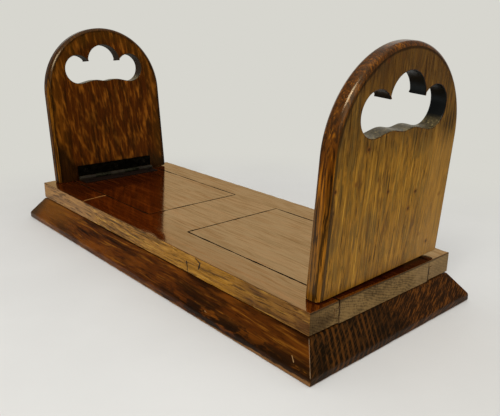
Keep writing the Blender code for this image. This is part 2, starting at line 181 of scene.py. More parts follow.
def cloud(tree, place, stretch, detail=3.0, roughness=0.55, shift=(0, 0, 0)):
    """Cloudy noise. A large stretch number along an axis makes the marks narrow that way."""
    drawn = put(tree, "Mapping", {"Vector": place, "Scale": stretch, "Location": shift})
    sockets = {"Vector": drawn.outputs[0], "Scale": 1.0, "Detail": detail, "Roughness": roughness}
    return put(tree, "TexNoise", sockets).outputs[0]


def new_finish(name):
    """An empty material with its tree, its shader and the object's own coordinates."""
    material = bpy.data.materials.new(name)
    material.use_nodes = True
    tree = material.node_tree
    place = put(tree, "TexCoord", {}).outputs["Object"]
    return material, tree, tree.nodes["Principled BSDF"], place


print("a mid brown:", [round(part, 3) for part in tone(125, 89, 37)[:3]])

# %% [markdown]
# ## A pale table in soft light
#
# The slide stands on a pale sheet that fills the whole picture. A curved studio sheet would get
# in the way when the slide is looked at from behind, so this is a large flat disc. Far out it
# fades to the colour of the world, and no edge shows. The world lights the wood evenly and looks
# pale to the camera. What a polished surface mirrors is set apart from that: pale straight behind
# the slide, bright at the ceiling, and dim elsewhere and on the far floor. Otherwise the mirrored
# floor and walls would lay a grey haze over the dark wood.

# %% World
SHEET_TONE = tone(215, 214, 207)
WORLD_LIGHT = 0.66
ROOM_DIM = 0.26
CEILING_LIGHT = 0.75
ROOM_WAY = Vector((0.78, -0.62, 0.05)).normalized()
WALL_EDGE, CEILING_EDGE = (-0.86, -0.62), (0.66, 0.92)

world = bpy.data.worlds.new("pale_room")
bpy.context.scene.world = world
world.use_nodes = True
room = world.node_tree
room.nodes.clear()
seen_by = put(room, "LightPath", {}).outputs
seen = calc(room, "ADD", seen_by["Is Camera Ray"], seen_by["Is Glossy Ray"])
seen = calc(room, "ADD", seen, seen_by["Is Transmission Ray"])
look = put(room, "TexCoord", {}).outputs["Generated"]
to_room = put(room, "VectorMath", {0: look, 1: ROOM_WAY}, operation="DOT_PRODUCT").outputs["Value"]
dimmed = ease(room, to_room, *WALL_EDGE, 1.0, ROOM_DIM)
up = axes(room, look)["Z"]
dimmed = calc(room, "MAXIMUM", dimmed, ease(room, up, *CEILING_EDGE, 0.0, CEILING_LIGHT))
by_camera = seen_by["Is Camera Ray"]
in_shine = times(room, dimmed, calc(room, "SUBTRACT", 1.0, by_camera))
shown_light = calc(room, "ADD", in_shine, by_camera)
lighting = put(room, "Background", {"Color": (1.0, 0.99, 0.98, 1), "Strength": WORLD_LIGHT})
shown = put(room, "Background", {"Color": SHEET_TONE, "Strength": shown_light})
either = put(room, "MixShader", {0: seen, 1: lighting.outputs[0], 2: shown.outputs[0]})
put(room, "OutputWorld", {"Surface": either.outputs[0]})
bpy.context.scene.view_settings.view_transform = "Standard"
print("world light:", WORLD_LIGHT)

# %% Table
TABLE_RADIUS = 4.0
FADE_START, FADE_STOP = 0.20, 0.42
FAR_DIM = 0.25

bpy.ops.mesh.primitive_circle_add(vertices=96, radius=TABLE_RADIUS, fill_type="NGON")
table_top = bpy.context.object
table_top.name = "pale_table"
sheet, tree, shader, place = new_finish("pale_sheet")
mottle = cloud(tree, place, (9, 9, 9), 5)
sheet_tone = mix(tree, ease(tree, mottle, 0.3, 0.7), tone(221, 221, 218), tone(225, 225, 222))
tree.links.new(sheet_tone, shader.inputs["Base Color"])
shader.inputs["Roughness"].default_value = 0.6
shader.inputs["Specular IOR Level"].default_value = 0.2
far = length_of(tree, place)
in_polish = put(tree, "LightPath", {}).outputs["Is Glossy Ray"]
far_light = weigh(tree, (1.0, 1.0), (in_polish, FAR_DIM - 1.0))
glow = put(tree, "Emission", {"Color": SHEET_TONE, "Strength": far_light})
fade = ease(tree, far, FADE_START, FADE_STOP)
faded = put(tree, "MixShader", {0: fade, 1: shader.outputs[0], 2: glow.outputs[0]})
output = tree.nodes["Material Output"]
tree.links.new(faded.outputs[0], output.inputs["Surface"])
table_top.data.materials.append(sheet)
table_top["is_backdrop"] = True
print("table:", TABLE_RADIUS * 2, "m across")

# %% Lamps
LAMP_AIM = Vector((0.0, 0.0, 0.08))


def add_lamp(name, way, distance, size, power, tint):
    """A square soft lamp that looks at the slide from the given way."""
    bpy.ops.object.light_add(type="AREA", location=LAMP_AIM + Vector(way).normalized() * distance)
    lamp = bpy.context.object
    lamp.name = name
    lamp.data.size = size
    lamp.data.energy = power
    lamp.data.color = tint
    lamp.rotation_euler = (LAMP_AIM - lamp.location).to_track_quat("-Z", "Y").to_euler()
    return lamp


key_lamp = add_lamp("key_lamp", (0.41, -0.56, 0.73), 1.5, 0.50, 10.0, (1.0, 0.98, 0.95))
side_lamp = add_lamp("side_lamp", (0.9, -0.35, 0.45), 1.6, 0.9, 2.0, (1.0, 0.99, 0.98))
print("lamps:", key_lamp.data.energy, side_lamp.data.energy, "W")

# %% [markdown]
# ## Modelling by hand, in code
#
# Each piece starts as a primitive of the right size and is shaped in edit mode, as with the
# mouse. Code has no mouse to click on a face, so faces and edges are picked by where they lie.
# An operator works on all that is selected, so everything else is deselected first.

# %% Helpers for modelling
HAIR = 0.0001


def only(piece):
    """Select this piece alone and make it the active one."""
    if bpy.context.mode != "OBJECT":
        bpy.ops.object.mode_set(mode="OBJECT")
    bpy.ops.object.select_all(action="DESELECT")
    piece.select_set(True)
    bpy.context.view_layer.objects.active = piece


def settle(name):
    """Name the active piece and move its place, turn and scale into its mesh."""
    piece = bpy.context.object
    piece.name = name
    bpy.ops.object.transform_apply(location=True, rotation=True, scale=True)
    return piece


def add_block(name, low, high):
    """A block from its lowest to its highest corner."""
    bpy.ops.object.select_all(action="DESELECT")
    bpy.ops.mesh.primitive_cube_add(size=1, location=(Vector(low) + Vector(high)) / 2)
    bpy.context.object.scale = Vector(high) - Vector(low)
    return settle(name)


def add_rod(name, radius, length, middle, along, sides):
    """A round rod along one axis."""
    bpy.ops.object.select_all(action="DESELECT")
    turns = {"X": (0, math.radians(90), 0), "Y": (math.radians(90), 0, 0), "Z": (0, 0, 0)}
    bpy.ops.mesh.primitive_cylinder_add(
        vertices=sides, radius=radius, depth=length, location=middle, rotation=turns[along]
    )
    return settle(name)


def add_cone(name, low_radius, high_radius, height, middle, sides):
    """An upright cone, cut off at both ends."""
    bpy.ops.object.select_all(action="DESELECT")
    bpy.ops.mesh.primitive_cone_add(
        vertices=sides, radius1=low_radius, radius2=high_radius, depth=height, location=middle
    )
    return settle(name)


def place_copy(original, name, stand):
    """Copy a piece with its own mesh and set it where the matrix says."""
    only(original)
    bpy.ops.object.duplicate()
    bpy.context.object.matrix_world = stand
    return settle(name)


def pick(kind, test):
    """In edit mode, select the faces, edges or points that pass a test, and say how many did."""
    bpy.ops.mesh.select_mode(type=kind)
    bpy.ops.mesh.select_all(action="DESELECT")
    shape = bmesh.from_edit_mesh(bpy.context.object.data)
    shape.normal_update()
    items = {"FACE": shape.faces, "EDGE": shape.edges, "VERT": shape.verts}[kind]
    chosen = [item for item in items if test(item)]
    for item in chosen:
        item.select_set(True)
    shape.select_flush_mode()
    bmesh.update_edit_mesh(bpy.context.object.data)
    return len(chosen)


def middle_of(edge):
    """The middle of an edge."""
    return (edge.verts[0].co + edge.verts[1].co) / 2


def height_of(face):
    """The height of a face's middle."""
    return face.calc_center_median().z


def span(edge, axis):
    """How far an edge reaches along an axis."""
    return abs(edge.verts[0].co[axis] - edge.verts[1].co[axis])


def is_sharp(edge, degrees=25):
    """True where two faces meet at a clear angle."""
    return edge.calc_face_angle(0) > math.radians(degrees)


def soften(test, size, segments, **more):
    """In edit mode, round the edges that pass a test, and say how many did."""
    count = pick("EDGE", test)
    bpy.ops.mesh.bevel(offset=size, segments=segments, affect="EDGES", **more)
    return count


def draw_out(way, size=None):
    """In edit mode, extrude the picked faces, and scale them at their new place if a size is given."""
    bpy.ops.mesh.extrude_region_move(TRANSFORM_OT_translate={"value": way})
    if size:
        bpy.ops.transform.resize(value=size)


def slice_at(spot, way, **more):
    """In edit mode, cut straight through the whole piece at a spot, square to the way."""
    bpy.ops.mesh.select_all(action="SELECT")
    bpy.ops.mesh.bisect(plane_co=spot, plane_no=way, **more)


def throw_away(*pieces):
    """Take shapes out of the scene once they have done their work."""
    for piece in pieces:
        bpy.data.objects.remove(piece, do_unlink=True)


def combine(piece, other, operation):
    """Change the piece by the other shape, then throw the other shape away."""
    only(piece)
    change = piece.modifiers.new("change", "BOOLEAN")
    change.operation = operation
    change.object = other
    bpy.ops.object.modifier_apply(modifier=change.name)
    throw_away(other)


def carve(piece, cutter):
    """Cut the cutter's shape out of the piece."""
    combine(piece, cutter, "DIFFERENCE")


def weld_on(piece, extra):
    """Join another shape to the piece, so that they are one closed body."""
    combine(piece, extra, "UNION")


print("a hair's breadth is", HAIR * 1000, "mm")

# %% Helpers for finishing a piece
SOFT_ANGLE = math.radians(32)
SPECK = 0.000002


def wear_down(piece, high, cuts, arris, depth, size):
    """Round a board's arrises and rub them away here and there. Wood is only ever taken off."""
    bpy.ops.object.mode_set(mode="EDIT")
    for axis, count in enumerate(cuts):
        pick("EDGE", lambda edge: span(edge, axis) > high[axis])
        bpy.ops.mesh.subdivide(number_cuts=count)
    rounded = soften(is_sharp, arris, 3)
    bpy.ops.object.vertex_group_add()
    bpy.ops.object.vertex_group_assign()
    only(piece)
    worn = bpy.data.textures.new(piece.name + "_wear", "CLOUDS")
    worn.noise_scale = size
    worn.noise_depth = 2
    rub = piece.modifiers.new("rub", "DISPLACE")
    rub.texture = worn
    rub.texture_coords = "LOCAL"
    rub.vertex_group = piece.vertex_groups[0].name
    rub.mid_level = 1.0
    rub.strength = depth
    bpy.ops.object.modifier_apply(modifier=rub.name)
    return rounded


def lay_finishes(piece, finishes):
    """Give every face the first finish whose test it passes."""
    piece.data.materials.clear()
    for finish, _ in finishes:
        piece.data.materials.append(finish)
    for face in piece.data.polygons:
        face.material_index = next(i for i, (_, test) in enumerate(finishes) if test(face))


def hand_over(piece, body, nodes):
    """Clear scraps, smooth what is round but not what is flat, and hand over to the measured model."""
    only(piece)
    bpy.ops.object.mode_set(mode="EDIT")
    bpy.ops.mesh.select_all(action="SELECT")
    bpy.ops.mesh.remove_doubles(threshold=SPECK)
    bpy.ops.mesh.dissolve_degenerate(threshold=SPECK)
    bpy.ops.object.mode_set(mode="OBJECT")
    bpy.ops.object.shade_smooth_by_angle(angle=SOFT_ANGLE)
    even = piece.modifiers.new("even", "WEIGHTED_NORMAL")
    even.keep_sharp = True
    bpy.ops.object.modifier_apply(modifier=even.name)
    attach(piece, body)
    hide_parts(*nodes)
    print(piece.name, "has", len(piece.data.polygons), "faces and moves with", body)


print("faces under", round(math.degrees(SOFT_ANGLE)), "degrees apart are shaded as one")

# %% [markdown]
# ## What oak looks like
#
# Sawn oak shows three things at once: broad bands where the growth rings surface, fine streaks
# along the grain, and short dark pores. Quarter-sawn oak also has flecks, pale patches that run
# across the grain. An image of wood would repeat and would only fit flat faces, so the figure is
# built from noise that is drawn out along the grain. Each piece slides the noise to a place of
# its own, as if it came from another plank. Old shellac is amber, so what shines back from it
# head-on is amber too. The shader's specular tint does that.

# %% The figure of oak
GRAIN_BANDS = (5, 95, 70)
GRAIN_STREAKS = (20, 560, 420)
GRAIN_LINES = (44, 1050, 850)
GRAIN_PORES = (100, 1700, 1300)
GRAIN_SWAY = 0.012
RELIEF = 0.0003
LENGTHWISE = (0, 0, 0)
AMBER_SHINE = (1.0, 0.60, 0.20, 1)


def oak_figure(tree, place, turn, slide, tones, contrast=0.6, pores=0.5, bands=GRAIN_BANDS, coarse=1.0):
    """Colour and height of oak whose grain runs along X after the turn."""
    log = put(tree, "Mapping", {"Vector": place, "Rotation": turn, "Location": slide}).outputs[0]
    sway = cloud(tree, log, (7, 22, 22), 2)
    sway = times(tree, calc(tree, "SUBTRACT", sway, 0.5), GRAIN_SWAY)
    side = put(tree, "CombineXYZ", {"Y": sway, "Z": sway}).outputs[0]
    log = put(tree, "VectorMath", {0: log, 1: side}, operation="ADD").outputs[0]
    band = cloud(tree, log, bands, 3, 0.5)
    streak = cloud(tree, log, [size / coarse for size in GRAIN_STREAKS], 2, 0.6)
    line = cloud(tree, log, [size / coarse for size in GRAIN_LINES], 2, 0.6)
    figure = weigh(tree, (band, 1.2), (streak, 2.6), (line, 1.8))
    figure = times(tree, calc(tree, "SUBTRACT", figure, 2.8), contrast)
    dark, base, light = tones
    colour = mix(tree, ease(tree, figure, -0.5, 0.0), dark, base)
    colour = mix(tree, ease(tree, figure, 0.0, 0.5), colour, light)
    pore = cloud(tree, log, GRAIN_PORES, 2, 0.5)
    hollow = ease(tree, pore, 0.56, 0.66, 0, pores)
    dim = put(tree, "HueSaturation", {"Value": 0.25, "Saturation": 1.1, "Color": colour}).outputs[0]
    colour = mix(tree, hollow, colour, dim)
    height = weigh(tree, (figure, 0.4), (hollow, -0.7))
    return log, colour, height


def turned(tree, place, turn):
    """The same place, looked at along other axes."""
    return put(tree, "Mapping", {"Vector": place, "Rotation": turn}).outputs[0]


def mark(tree, place, colour, other, line, width, share):
    """Draw a thin mark from one spot to another: full on the line, gone at its width."""
    start, stop = (Vector(spot) for spot in line)
    way = (stop - start).normalized()
    wobble = cloud(tree, place, (160, 160, 160), 3, 0.6)
    from_start = put(tree, "VectorMath", {0: place, 1: start}, operation="SUBTRACT").outputs[0]
    done = put(tree, "VectorMath", {0: from_start, 1: way}, operation="DOT_PRODUCT").outputs["Value"]
    done = put(tree, "Clamp", {"Value": done, "Min": 0.0, "Max": (stop - start).length}).outputs[0]
    foot = put(tree, "VectorMath", {0: way, "Scale": done}, operation="SCALE").outputs[0]
    gap = put(tree, "VectorMath", {0: from_start, 1: foot}, operation="DISTANCE").outputs["Value"]
    gap = weigh(tree, (gap, 1.0), (wobble, width * 2), (1.0, -width))
    return lay(tree, colour, other, gap, width, width * 0.3, share)


def stain(tree, place, colour, dirt, stretch, start, stop, share, shift=(0, 0, 0)):
    """Lay patches of another colour over the first one."""
    patch = cloud(tree, place, stretch, 4, 0.6, shift)
    return lay(tree, colour, dirt, patch, start, stop, share)


def waves(tree, value, spacing):
    """A soft wave from -1 to 1 that comes back at each spacing."""
    return calc(tree, "SINE", times(tree, value, 2 * math.pi / spacing))


def polish(tree, shader, colour, height, rough, bump, shine=0.5, tint=AMBER_SHINE, spread=0.08):
    """Close a finish: colour, roughness that follows the figure, relief, and how much it shines."""
    tree.links.new(colour, shader.inputs["Base Color"])
    roughness = ease(tree, height, -0.6, 0.1, rough + spread, rough)
    tree.links.new(roughness, shader.inputs["Roughness"])
    relief = put(tree, "Bump", {"Height": height, "Strength": bump, "Distance": RELIEF})
    tree.links.new(relief.outputs[0], shader.inputs["Normal"])
    shader.inputs["Specular IOR Level"].default_value = shine
    shader.inputs["Specular Tint"].default_value = tint


def roughen(tree, shader, matt):
    """Make a closed finish matt where the value is high."""
    gloss = shader.inputs["Roughness"].links[0].from_socket
    tree.links.new(calc(tree, "MAXIMUM", gloss, matt), shader.inputs["Roughness"])


print("old shellac shines back amber:", AMBER_SHINE[:3])

# %% [markdown]
# ## The plinth's finish
#
# The plinth is stained a dark red-brown. Its long sides show the grain, with orange streaks where
# the stain is thin, and its low lip is rubbed to bare tan wood. Its two short sides are end
# grain: the rings meet the surface as stripes, and the cut pores drink the stain and go nearly
# black. One tree could mix both, but two finishes are easier to follow, and each face gets one.

# %% Plinth, long grain
PLINTH_LIP = 0.0055
plinth_low, plinth_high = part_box("plinth")
board_low, board_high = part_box("top_board")
PLINTH_SLOPE = (plinth_high.x - board_high.x) / (plinth_high.z - PLINTH_LIP)


def on_slope(along, height):
    """A spot on the front slope of the plinth, from its X and its height."""
    return along, plinth_low.y + (height - PLINTH_LIP) * PLINTH_SLOPE, height


NICKS = (
    (on_slope(0.1745, 0.0105), on_slope(0.1775, 0.0085)),
    (on_slope(0.0950, 0.0080), on_slope(0.0975, 0.0076)),
)
NICK_WIDTH = 0.0005
SOOT_X, SOOT_Z = (-0.02, 0.10), (0.015, 0.007)
DUST_X, DUST_Z = (-0.090, -0.150), (0.006, 0.014)
GREY_TIP_X = (-0.165, -0.186)
DARK_END_X = (0.11, 0.17)
LOWER_RUB_X, RUBBED_Z = (0.10, 0.18), (0.0048, 0.0036)
PALE_CORNER_WIDTH = 0.0005


def plinth_long_grain():
    """Dark stained oak along X, with a rubbed lip and a pale line along each right-hand corner."""
    material, tree, shader, place = new_finish("plinth_long_grain")
    tones = (tone(26, 10, 1), tone(80, 38, 6), tone(146, 90, 24))
    _, colour, height = oak_figure(tree, place, LENGTHWISE, (0.31, 0.12, 0.07), tones, 0.55, 0.7)
    colour = stain(tree, place, colour, tone(22, 9, 3), (13, 100, 100), 0.46, 0.62, 0.8)
    colour = stain(tree, place, colour, tone(124, 66, 12), (16, 90, 100), 0.50, 0.64, 0.45, (3, 1, 5))
    parts = axes(tree, place)
    soot = cloud(tree, place, (50, 120, 180), 4, 0.65, (7, 7, 2))
    low_right = times(tree, ease(tree, parts["X"], *SOOT_X), ease(tree, parts["Z"], *SOOT_Z))
    soot = times(tree, ease(tree, soot, 0.42, 0.50, 0, 0.9), low_right)
    colour = mix(tree, soot, colour, tone(17, 9, 5))
    dust = ease(tree, parts["X"], *DUST_X, 0, 0.65)
    dust = times(tree, dust, ease(tree, parts["Z"], *DUST_Z, 0.4, 1.0))
    colour = mix(tree, dust, colour, tone(112, 68, 16))
    colour = lay(tree, colour, tone(58, 42, 24), parts["X"], *GREY_TIP_X, 0.85)
    colour = lay(tree, colour, tone(44, 22, 5), parts["X"], *DARK_END_X, 0.3)
    for nick in NICKS:
        colour = mark(tree, place, colour, tone(176, 136, 88), nick, NICK_WIDTH, 0.7)
    ragged = times(tree, cloud(tree, place, (60, 200, 200), 5, 0.65), 0.0060)
    low = calc(tree, "ADD", parts["Z"], ragged)
    low = weigh(tree, (low, 1.0), (ease(tree, parts["X"], *LOWER_RUB_X), -0.0016))
    colour = lay(tree, colour, tone(138, 96, 54), low, *RUBBED_Z, 0.8)
    along = weigh(tree, (parts["X"], 1.0), (parts["Z"], PLINTH_SLOPE), (ragged, 0.12))
    corner = plinth_high.x + PLINTH_LIP * PLINTH_SLOPE
    colour = lay(tree, colour, tone(168, 138, 106), along, corner - PALE_CORNER_WIDTH, corner - HAIR, 0.6)
    polish(tree, shader, colour, height, 0.28, 0.35, 0.07)
    return material


plinth_side = plinth_long_grain()
print(plinth_side.name)

# %% Plinth, end grain
RING_WIDTH = 0.0045
PORE_SLANT = math.radians(-24)
RINGED_Y, CLEAN_Y = (0.036, 0.000), (-0.068, -0.052)
END_RUBBED_Z = (0.0026, 0.0018)


def plinth_end_grain():
    """Nearly black end grain: soft upright rings near one corner, and slanting rows of open pores."""
    material, tree, shader, place = new_finish("plinth_end_grain")
    parts = axes(tree, place)
    warp = weigh(tree, (cloud(tree, place, (10, 16, 20), 2, 0.5), 0.007), (parts["Z"], -0.45))
    across = calc(tree, "ADD", parts["Y"], warp)
    broad = waves(tree, across, RING_WIDTH)
    patchy = cloud(tree, place, (60, 100, 60), 4, 0.65, (2, 2, 2))
    frayed = cloud(tree, place, (300, 900, 160), 3, 0.6)
    broad = ease(tree, weigh(tree, (broad, 0.26), (patchy, 0.9), (frayed, 0.5)), 0.66, 1.08)
    slanted = turned(tree, place, (PORE_SLANT, 0, 0))
    row = cloud(tree, slanted, (200, 100, 1400), 2, 0.6, (4, 4, 4))
    dot = cloud(tree, slanted, (300, 900, 1000), 1, 0.5, (9, 4, 4))
    row = ease(tree, weigh(tree, (row, 1.7), (dot, 0.4), (patchy, 0.4)), 1.14, 1.56)
    colour = mix(tree, row, tone(36, 18, 5), tone(100, 56, 15))
    streaked = mix(tree, times(tree, row, 0.20), tone(15, 9, 4), tone(116, 72, 26))
    clean = ease(tree, weigh(tree, (parts["Y"], 1.0), (patchy, 0.02)), *CLEAN_Y, 0.2, 0.72)
    streaked = mix(tree, times(tree, broad, clean), streaked, tone(94, 53, 15))
    near = weigh(tree, (parts["Y"], 1.0), (patchy, 0.04))
    colour = lay(tree, colour, streaked, near, *RINGED_Y, 0.9)
    dusk = cloud(tree, place, (20, 34, 50), 3, 0.6, (6, 1, 4))
    colour = lay(tree, colour, tone(18, 10, 5), dusk, 0.45, 0.65, 0.5)
    ragged = times(tree, cloud(tree, place, (200, 120, 200), 5, 0.65), 0.003)
    low = calc(tree, "ADD", parts["Z"], ragged)
    colour = lay(tree, colour, tone(136, 96, 58), low, *END_RUBBED_Z, 0.75)
    height = weigh(tree, (row, 0.3), (frayed, 0.4), (1.0, -0.4))
    polish(tree, shader, colour, height, 0.42, 0.4, 0.12)
    return material


plinth_end = plinth_end_grain()
print(plinth_end.name)

# %% Bare wood, underneath and inside the joints
def bare_underside():
    """Unpolished oak, pale and dusty below, and black with old dirt at the mouths of the joints."""
    material, tree, shader, place = new_finish("bare_underside")
    tones = (tone(84, 58, 36), tone(128, 96, 62), tone(158, 124, 84))
    _, colour, height = oak_figure(tree, place, LENGTHWISE, (0.7, 0.3, 0.2), tones, 0.7, 0.7)
    colour = stain(tree, place, colour, tone(70, 50, 34), (14, 20, 20), 0.5, 0.75, 0.5)
    up = axes(tree, place)["Z"]
    colour = lay(tree, colour, tone(16, 8, 4), up, board_high.z - 0.006, board_high.z - 0.002, 0.95)
    polish(tree, shader, colour, height, 0.75, 0.5, 0.1)
    return material


underside = bare_underside()
print(underside.name)

# %% [markdown]
# ## The plinth
#
# On the real slide the plinth is one board, planed to a slope on all four sides and left with a
# small upright lip at the table. It starts as a block as tall as the lip. Its top face is
# extruded up and drawn in to the size of the top board, which makes the four slopes at once.
# Long edges are subdivided, so that the wear can follow them.

# %% Block, slope and lip
plinth = add_block("plinth_wood", plinth_low, (plinth_high.x, plinth_high.y, PLINTH_LIP))
bpy.ops.object.mode_set(mode="EDIT")
pick("FACE", lambda face: face.normal.z > 0.9)
top_size = (board_high.x / plinth_high.x, board_high.y / plinth_high.y, 1)
draw_out((0, 0, plinth_high.z - PLINTH_LIP), top_size)
print("plinth slopes", round((plinth_high.x - board_high.x) * 1000, 1), "mm at its ends")

# %% Soft, worn arrises
PLINTH_ARRIS = 0.0010
PLINTH_CUTS = (71, 29)
PLINTH_WEAR, PLINTH_WEAR_SIZE = 0.0007, 0.007

rounded = wear_down(plinth, plinth_high, PLINTH_CUTS, PLINTH_ARRIS, PLINTH_WEAR, PLINTH_WEAR_SIZE)
print("rounded", rounded, "edges of the plinth")

# %% [markdown]
# ## Slots for the stop pegs
#
# A peg under each tongue runs in a slot in the plinth, which stops the tongue before it leaves
# the board. The slot shows when a tongue is out. A slot is a round hole drawn out: one half of a
# rod is picked and moved by the travel, and the rod becomes the cutter.

# %% Peg slots
PEG_GAP = 0.0004
SLOT_DEPTH = 0.0084
SLIDE_TRAVEL = next(joint for joint in frame["joints"] if joint["name"] == "right_slide")["range_m"][1]
peg_low, peg_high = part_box("right_stop_peg")
PEG_X = (peg_low.x + peg_high.x) / 2
PEG_RADIUS = (peg_high.x - peg_low.x) / 2

for way in (1, -1):
    slot = add_rod("slot", PEG_RADIUS + PEG_GAP, 2 * SLOT_DEPTH, (way * PEG_X, 0, plinth_high.z), "Z", 32)
    bpy.ops.object.mode_set(mode="EDIT")
    pick("VERT", lambda point: way * (point.co.x - way * PEG_X) > PEG_RADIUS / 20)
    bpy.ops.transform.translate(value=(way * SLIDE_TRAVEL, 0, 0))
    bpy.ops.object.mode_set(mode="OBJECT")
    carve(plinth, slot)
print("slots", round(SLIDE_TRAVEL * 1000), "mm long")

# %% Countersunk holes underneath
PLINTH_SCREWS = [name for name in frame["nodes"] if name.startswith("plinth_screw")]
SCREW_FIT = 0.0002
MOUTH_SHARE, THROAT_SHARE = 1.08, 0.5

for name in PLINTH_SCREWS:
    low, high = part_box(name)
    middle = (low + high) / 2
    radius = (high.x - low.x) / 2
    seat = (middle.x, middle.y, radius / 2 - SCREW_FIT)
    mouth = radius * MOUTH_SHARE + SCREW_FIT
    carve(plinth, add_cone("countersink", mouth, radius * THROAT_SHARE, radius, seat, 32))
print("countersunk", len(PLINTH_SCREWS), "holes")

# %% Plinth finishes
lay_finishes(plinth, [
    (underside, lambda face: face.normal.z < -0.9 or face.center.z > plinth_high.z - HAIR / 2),
    (plinth_end, lambda face: abs(face.normal.x) > abs(face.normal.y) and face.normal.z > -0.4),
    (plinth_side, lambda face: True),
])
hand_over(plinth, "base", ["plinth"])

# %% [markdown]
# ## The top board's finishes
#
# The top of the board is polished until it mirrors what stands behind it, so most of its colour
# in a picture is reflection. Under that is a deep red-brown. The mirror comes from a high index
# of refraction, and its streaks from a specular tint that follows the grain. The front edge was
# never polished as much: it is tan and golden, with open grain, a crack or two and dark bruises
# along the arris. The short edge is end grain, greyed with age: fine rings crossed by fine rays.
# The joints round the tongues are full of old dirt, on the top and on the short edge alike, so
# one function finds them for both.

# %% Joints between board and tongues
BRIDGE = 0.055
RIDGE_DEPTH = 0.004
TONGUE_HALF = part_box("right_tongue")[1].y - RIDGE_DEPTH
JOINT_GAP = 0.0004


def joint_dirt(tree, place):
    """Dirt and old polish in the joints between board and tongues: 1 on the joint, 0 beside it."""
    parts = axes(tree, place)
    across, along = calc(tree, "ABSOLUTE", parts["Y"]), calc(tree, "ABSOLUTE", parts["X"])
    width = weigh(tree, (cloud(tree, place, (70, 70, 70), 4, 0.65), 0.0018), (1.0, -0.0002))
    side = calc(tree, "ABSOLUTE", calc(tree, "SUBTRACT", across, TONGUE_HALF + JOINT_GAP / 2))
    side = calc(tree, "LESS_THAN", side, width)
    side = times(tree, side, calc(tree, "GREATER_THAN", along, BRIDGE / 2))
    butt = calc(tree, "ABSOLUTE", calc(tree, "SUBTRACT", along, BRIDGE / 2 + JOINT_GAP / 2))
    butt = calc(tree, "LESS_THAN", butt, width)
    butt = times(tree, butt, calc(tree, "LESS_THAN", across, TONGUE_HALF))
    return calc(tree, "MAXIMUM", side, butt)


print("tongues are", round(TONGUE_HALF * 2000, 1), "mm wide without their ridges")

# %% Board, polished top
MIRROR_IOR = 5.3
MIRROR_TINT = (1.0, 0.67, 0.34, 1)
MIRROR_STREAK = (0.68, 0.41, 0.17, 1)
DIRT_TINT = (0.02, 0.01, 0.005, 1)
SCRATCH = ((-0.0972, -0.0700, board_high.z), (-0.1006, -0.0475, board_high.z))
SCRATCH_WIDTH = 0.0014
HANDLED_Y = (-0.010, -0.050)
BRUISED_Y = (board_low.y + 0.0082, board_low.y + 0.0064)


def board_polish(name, slide):
    """Deep red-brown oak under a mirror polish that is streaked along the grain."""
    material, tree, shader, place = new_finish(name)
    tones = (tone(26, 6, 1), tone(60, 20, 3), tone(92, 40, 8))
    log, colour, height = oak_figure(tree, place, LENGTHWISE, slide, tones, 0.70, 0.45, (4, 60, 60))
    colour = stain(tree, place, colour, tone(40, 12, 3), (10, 24, 24), 0.5, 0.7, 0.5)
    streak = cloud(tree, log, (18, 620, 460), 3, 0.65, (3, 3, 3))
    line = cloud(tree, log, (44, 1100, 900), 2, 0.6, (6, 3, 3))
    broad = cloud(tree, log, (7, 80, 80), 3, 0.6, (1, 4, 2))
    streak = ease(tree, weigh(tree, (streak, 1.0), (line, 0.8), (broad, 0.3)), 0.96, 1.30)
    parts = axes(tree, place)
    shine = mix(tree, streak, MIRROR_TINT, MIRROR_STREAK)
    handled = weigh(tree, (parts["Y"], 1.0), (broad, 0.04))
    shine = lay(tree, shine, MIRROR_STREAK, handled, *HANDLED_Y, 0.45)
    edge = weigh(tree, (parts["Y"], 1.0), (cloud(tree, place, (26, 120, 120), 4, 0.65, (5, 2, 2)), 0.018))
    bruise = ease(tree, edge, *BRUISED_Y, 0, 0.8)
    dirt = calc(tree, "MAXIMUM", bruise, joint_dirt(tree, place))
    shine = mix(tree, dirt, shine, DIRT_TINT)
    colour = mix(tree, dirt, colour, tone(14, 7, 3))
    colour = mark(tree, place, colour, tone(168, 118, 62), SCRATCH, SCRATCH_WIDTH, 0.9)
    polish(tree, shader, colour, height, 0.08, 0.06, spread=0.05)
    roughen(tree, shader, times(tree, dirt, 0.6))
    tree.links.new(shine, shader.inputs["Specular Tint"])
    shader.inputs["IOR"].default_value = MIRROR_IOR
    return material


board_top = board_polish("board_polish", (0.1, 0.05, 0.02))
left_tongue_top = board_polish("left_tongue_polish", (0.52, 0.21, 0.02))
right_tongue_top = board_polish("right_tongue_polish", (-0.33, -0.17, 0.05))
print(board_top.name, left_tongue_top.name, right_tongue_top.name)

# %% Board, front and back edges
GOLDEN_X, GOLDEN_STOP_X = (0.02, 0.11), (0.20, 0.15)
TAN_X, RUDDY_X = (0.00, -0.06), (0.105, 0.14)
FRONT = board_low.y
CRACKS = (
    ((0.0618, FRONT, 0.0300), (0.0626, FRONT, 0.0225)),
    ((0.0726, FRONT, 0.0352), (0.0775, FRONT, 0.0335)),
    ((0.0775, FRONT, 0.0335), (0.0755, FRONT, 0.0285)),
)
CRACK_WIDTH = 0.0009


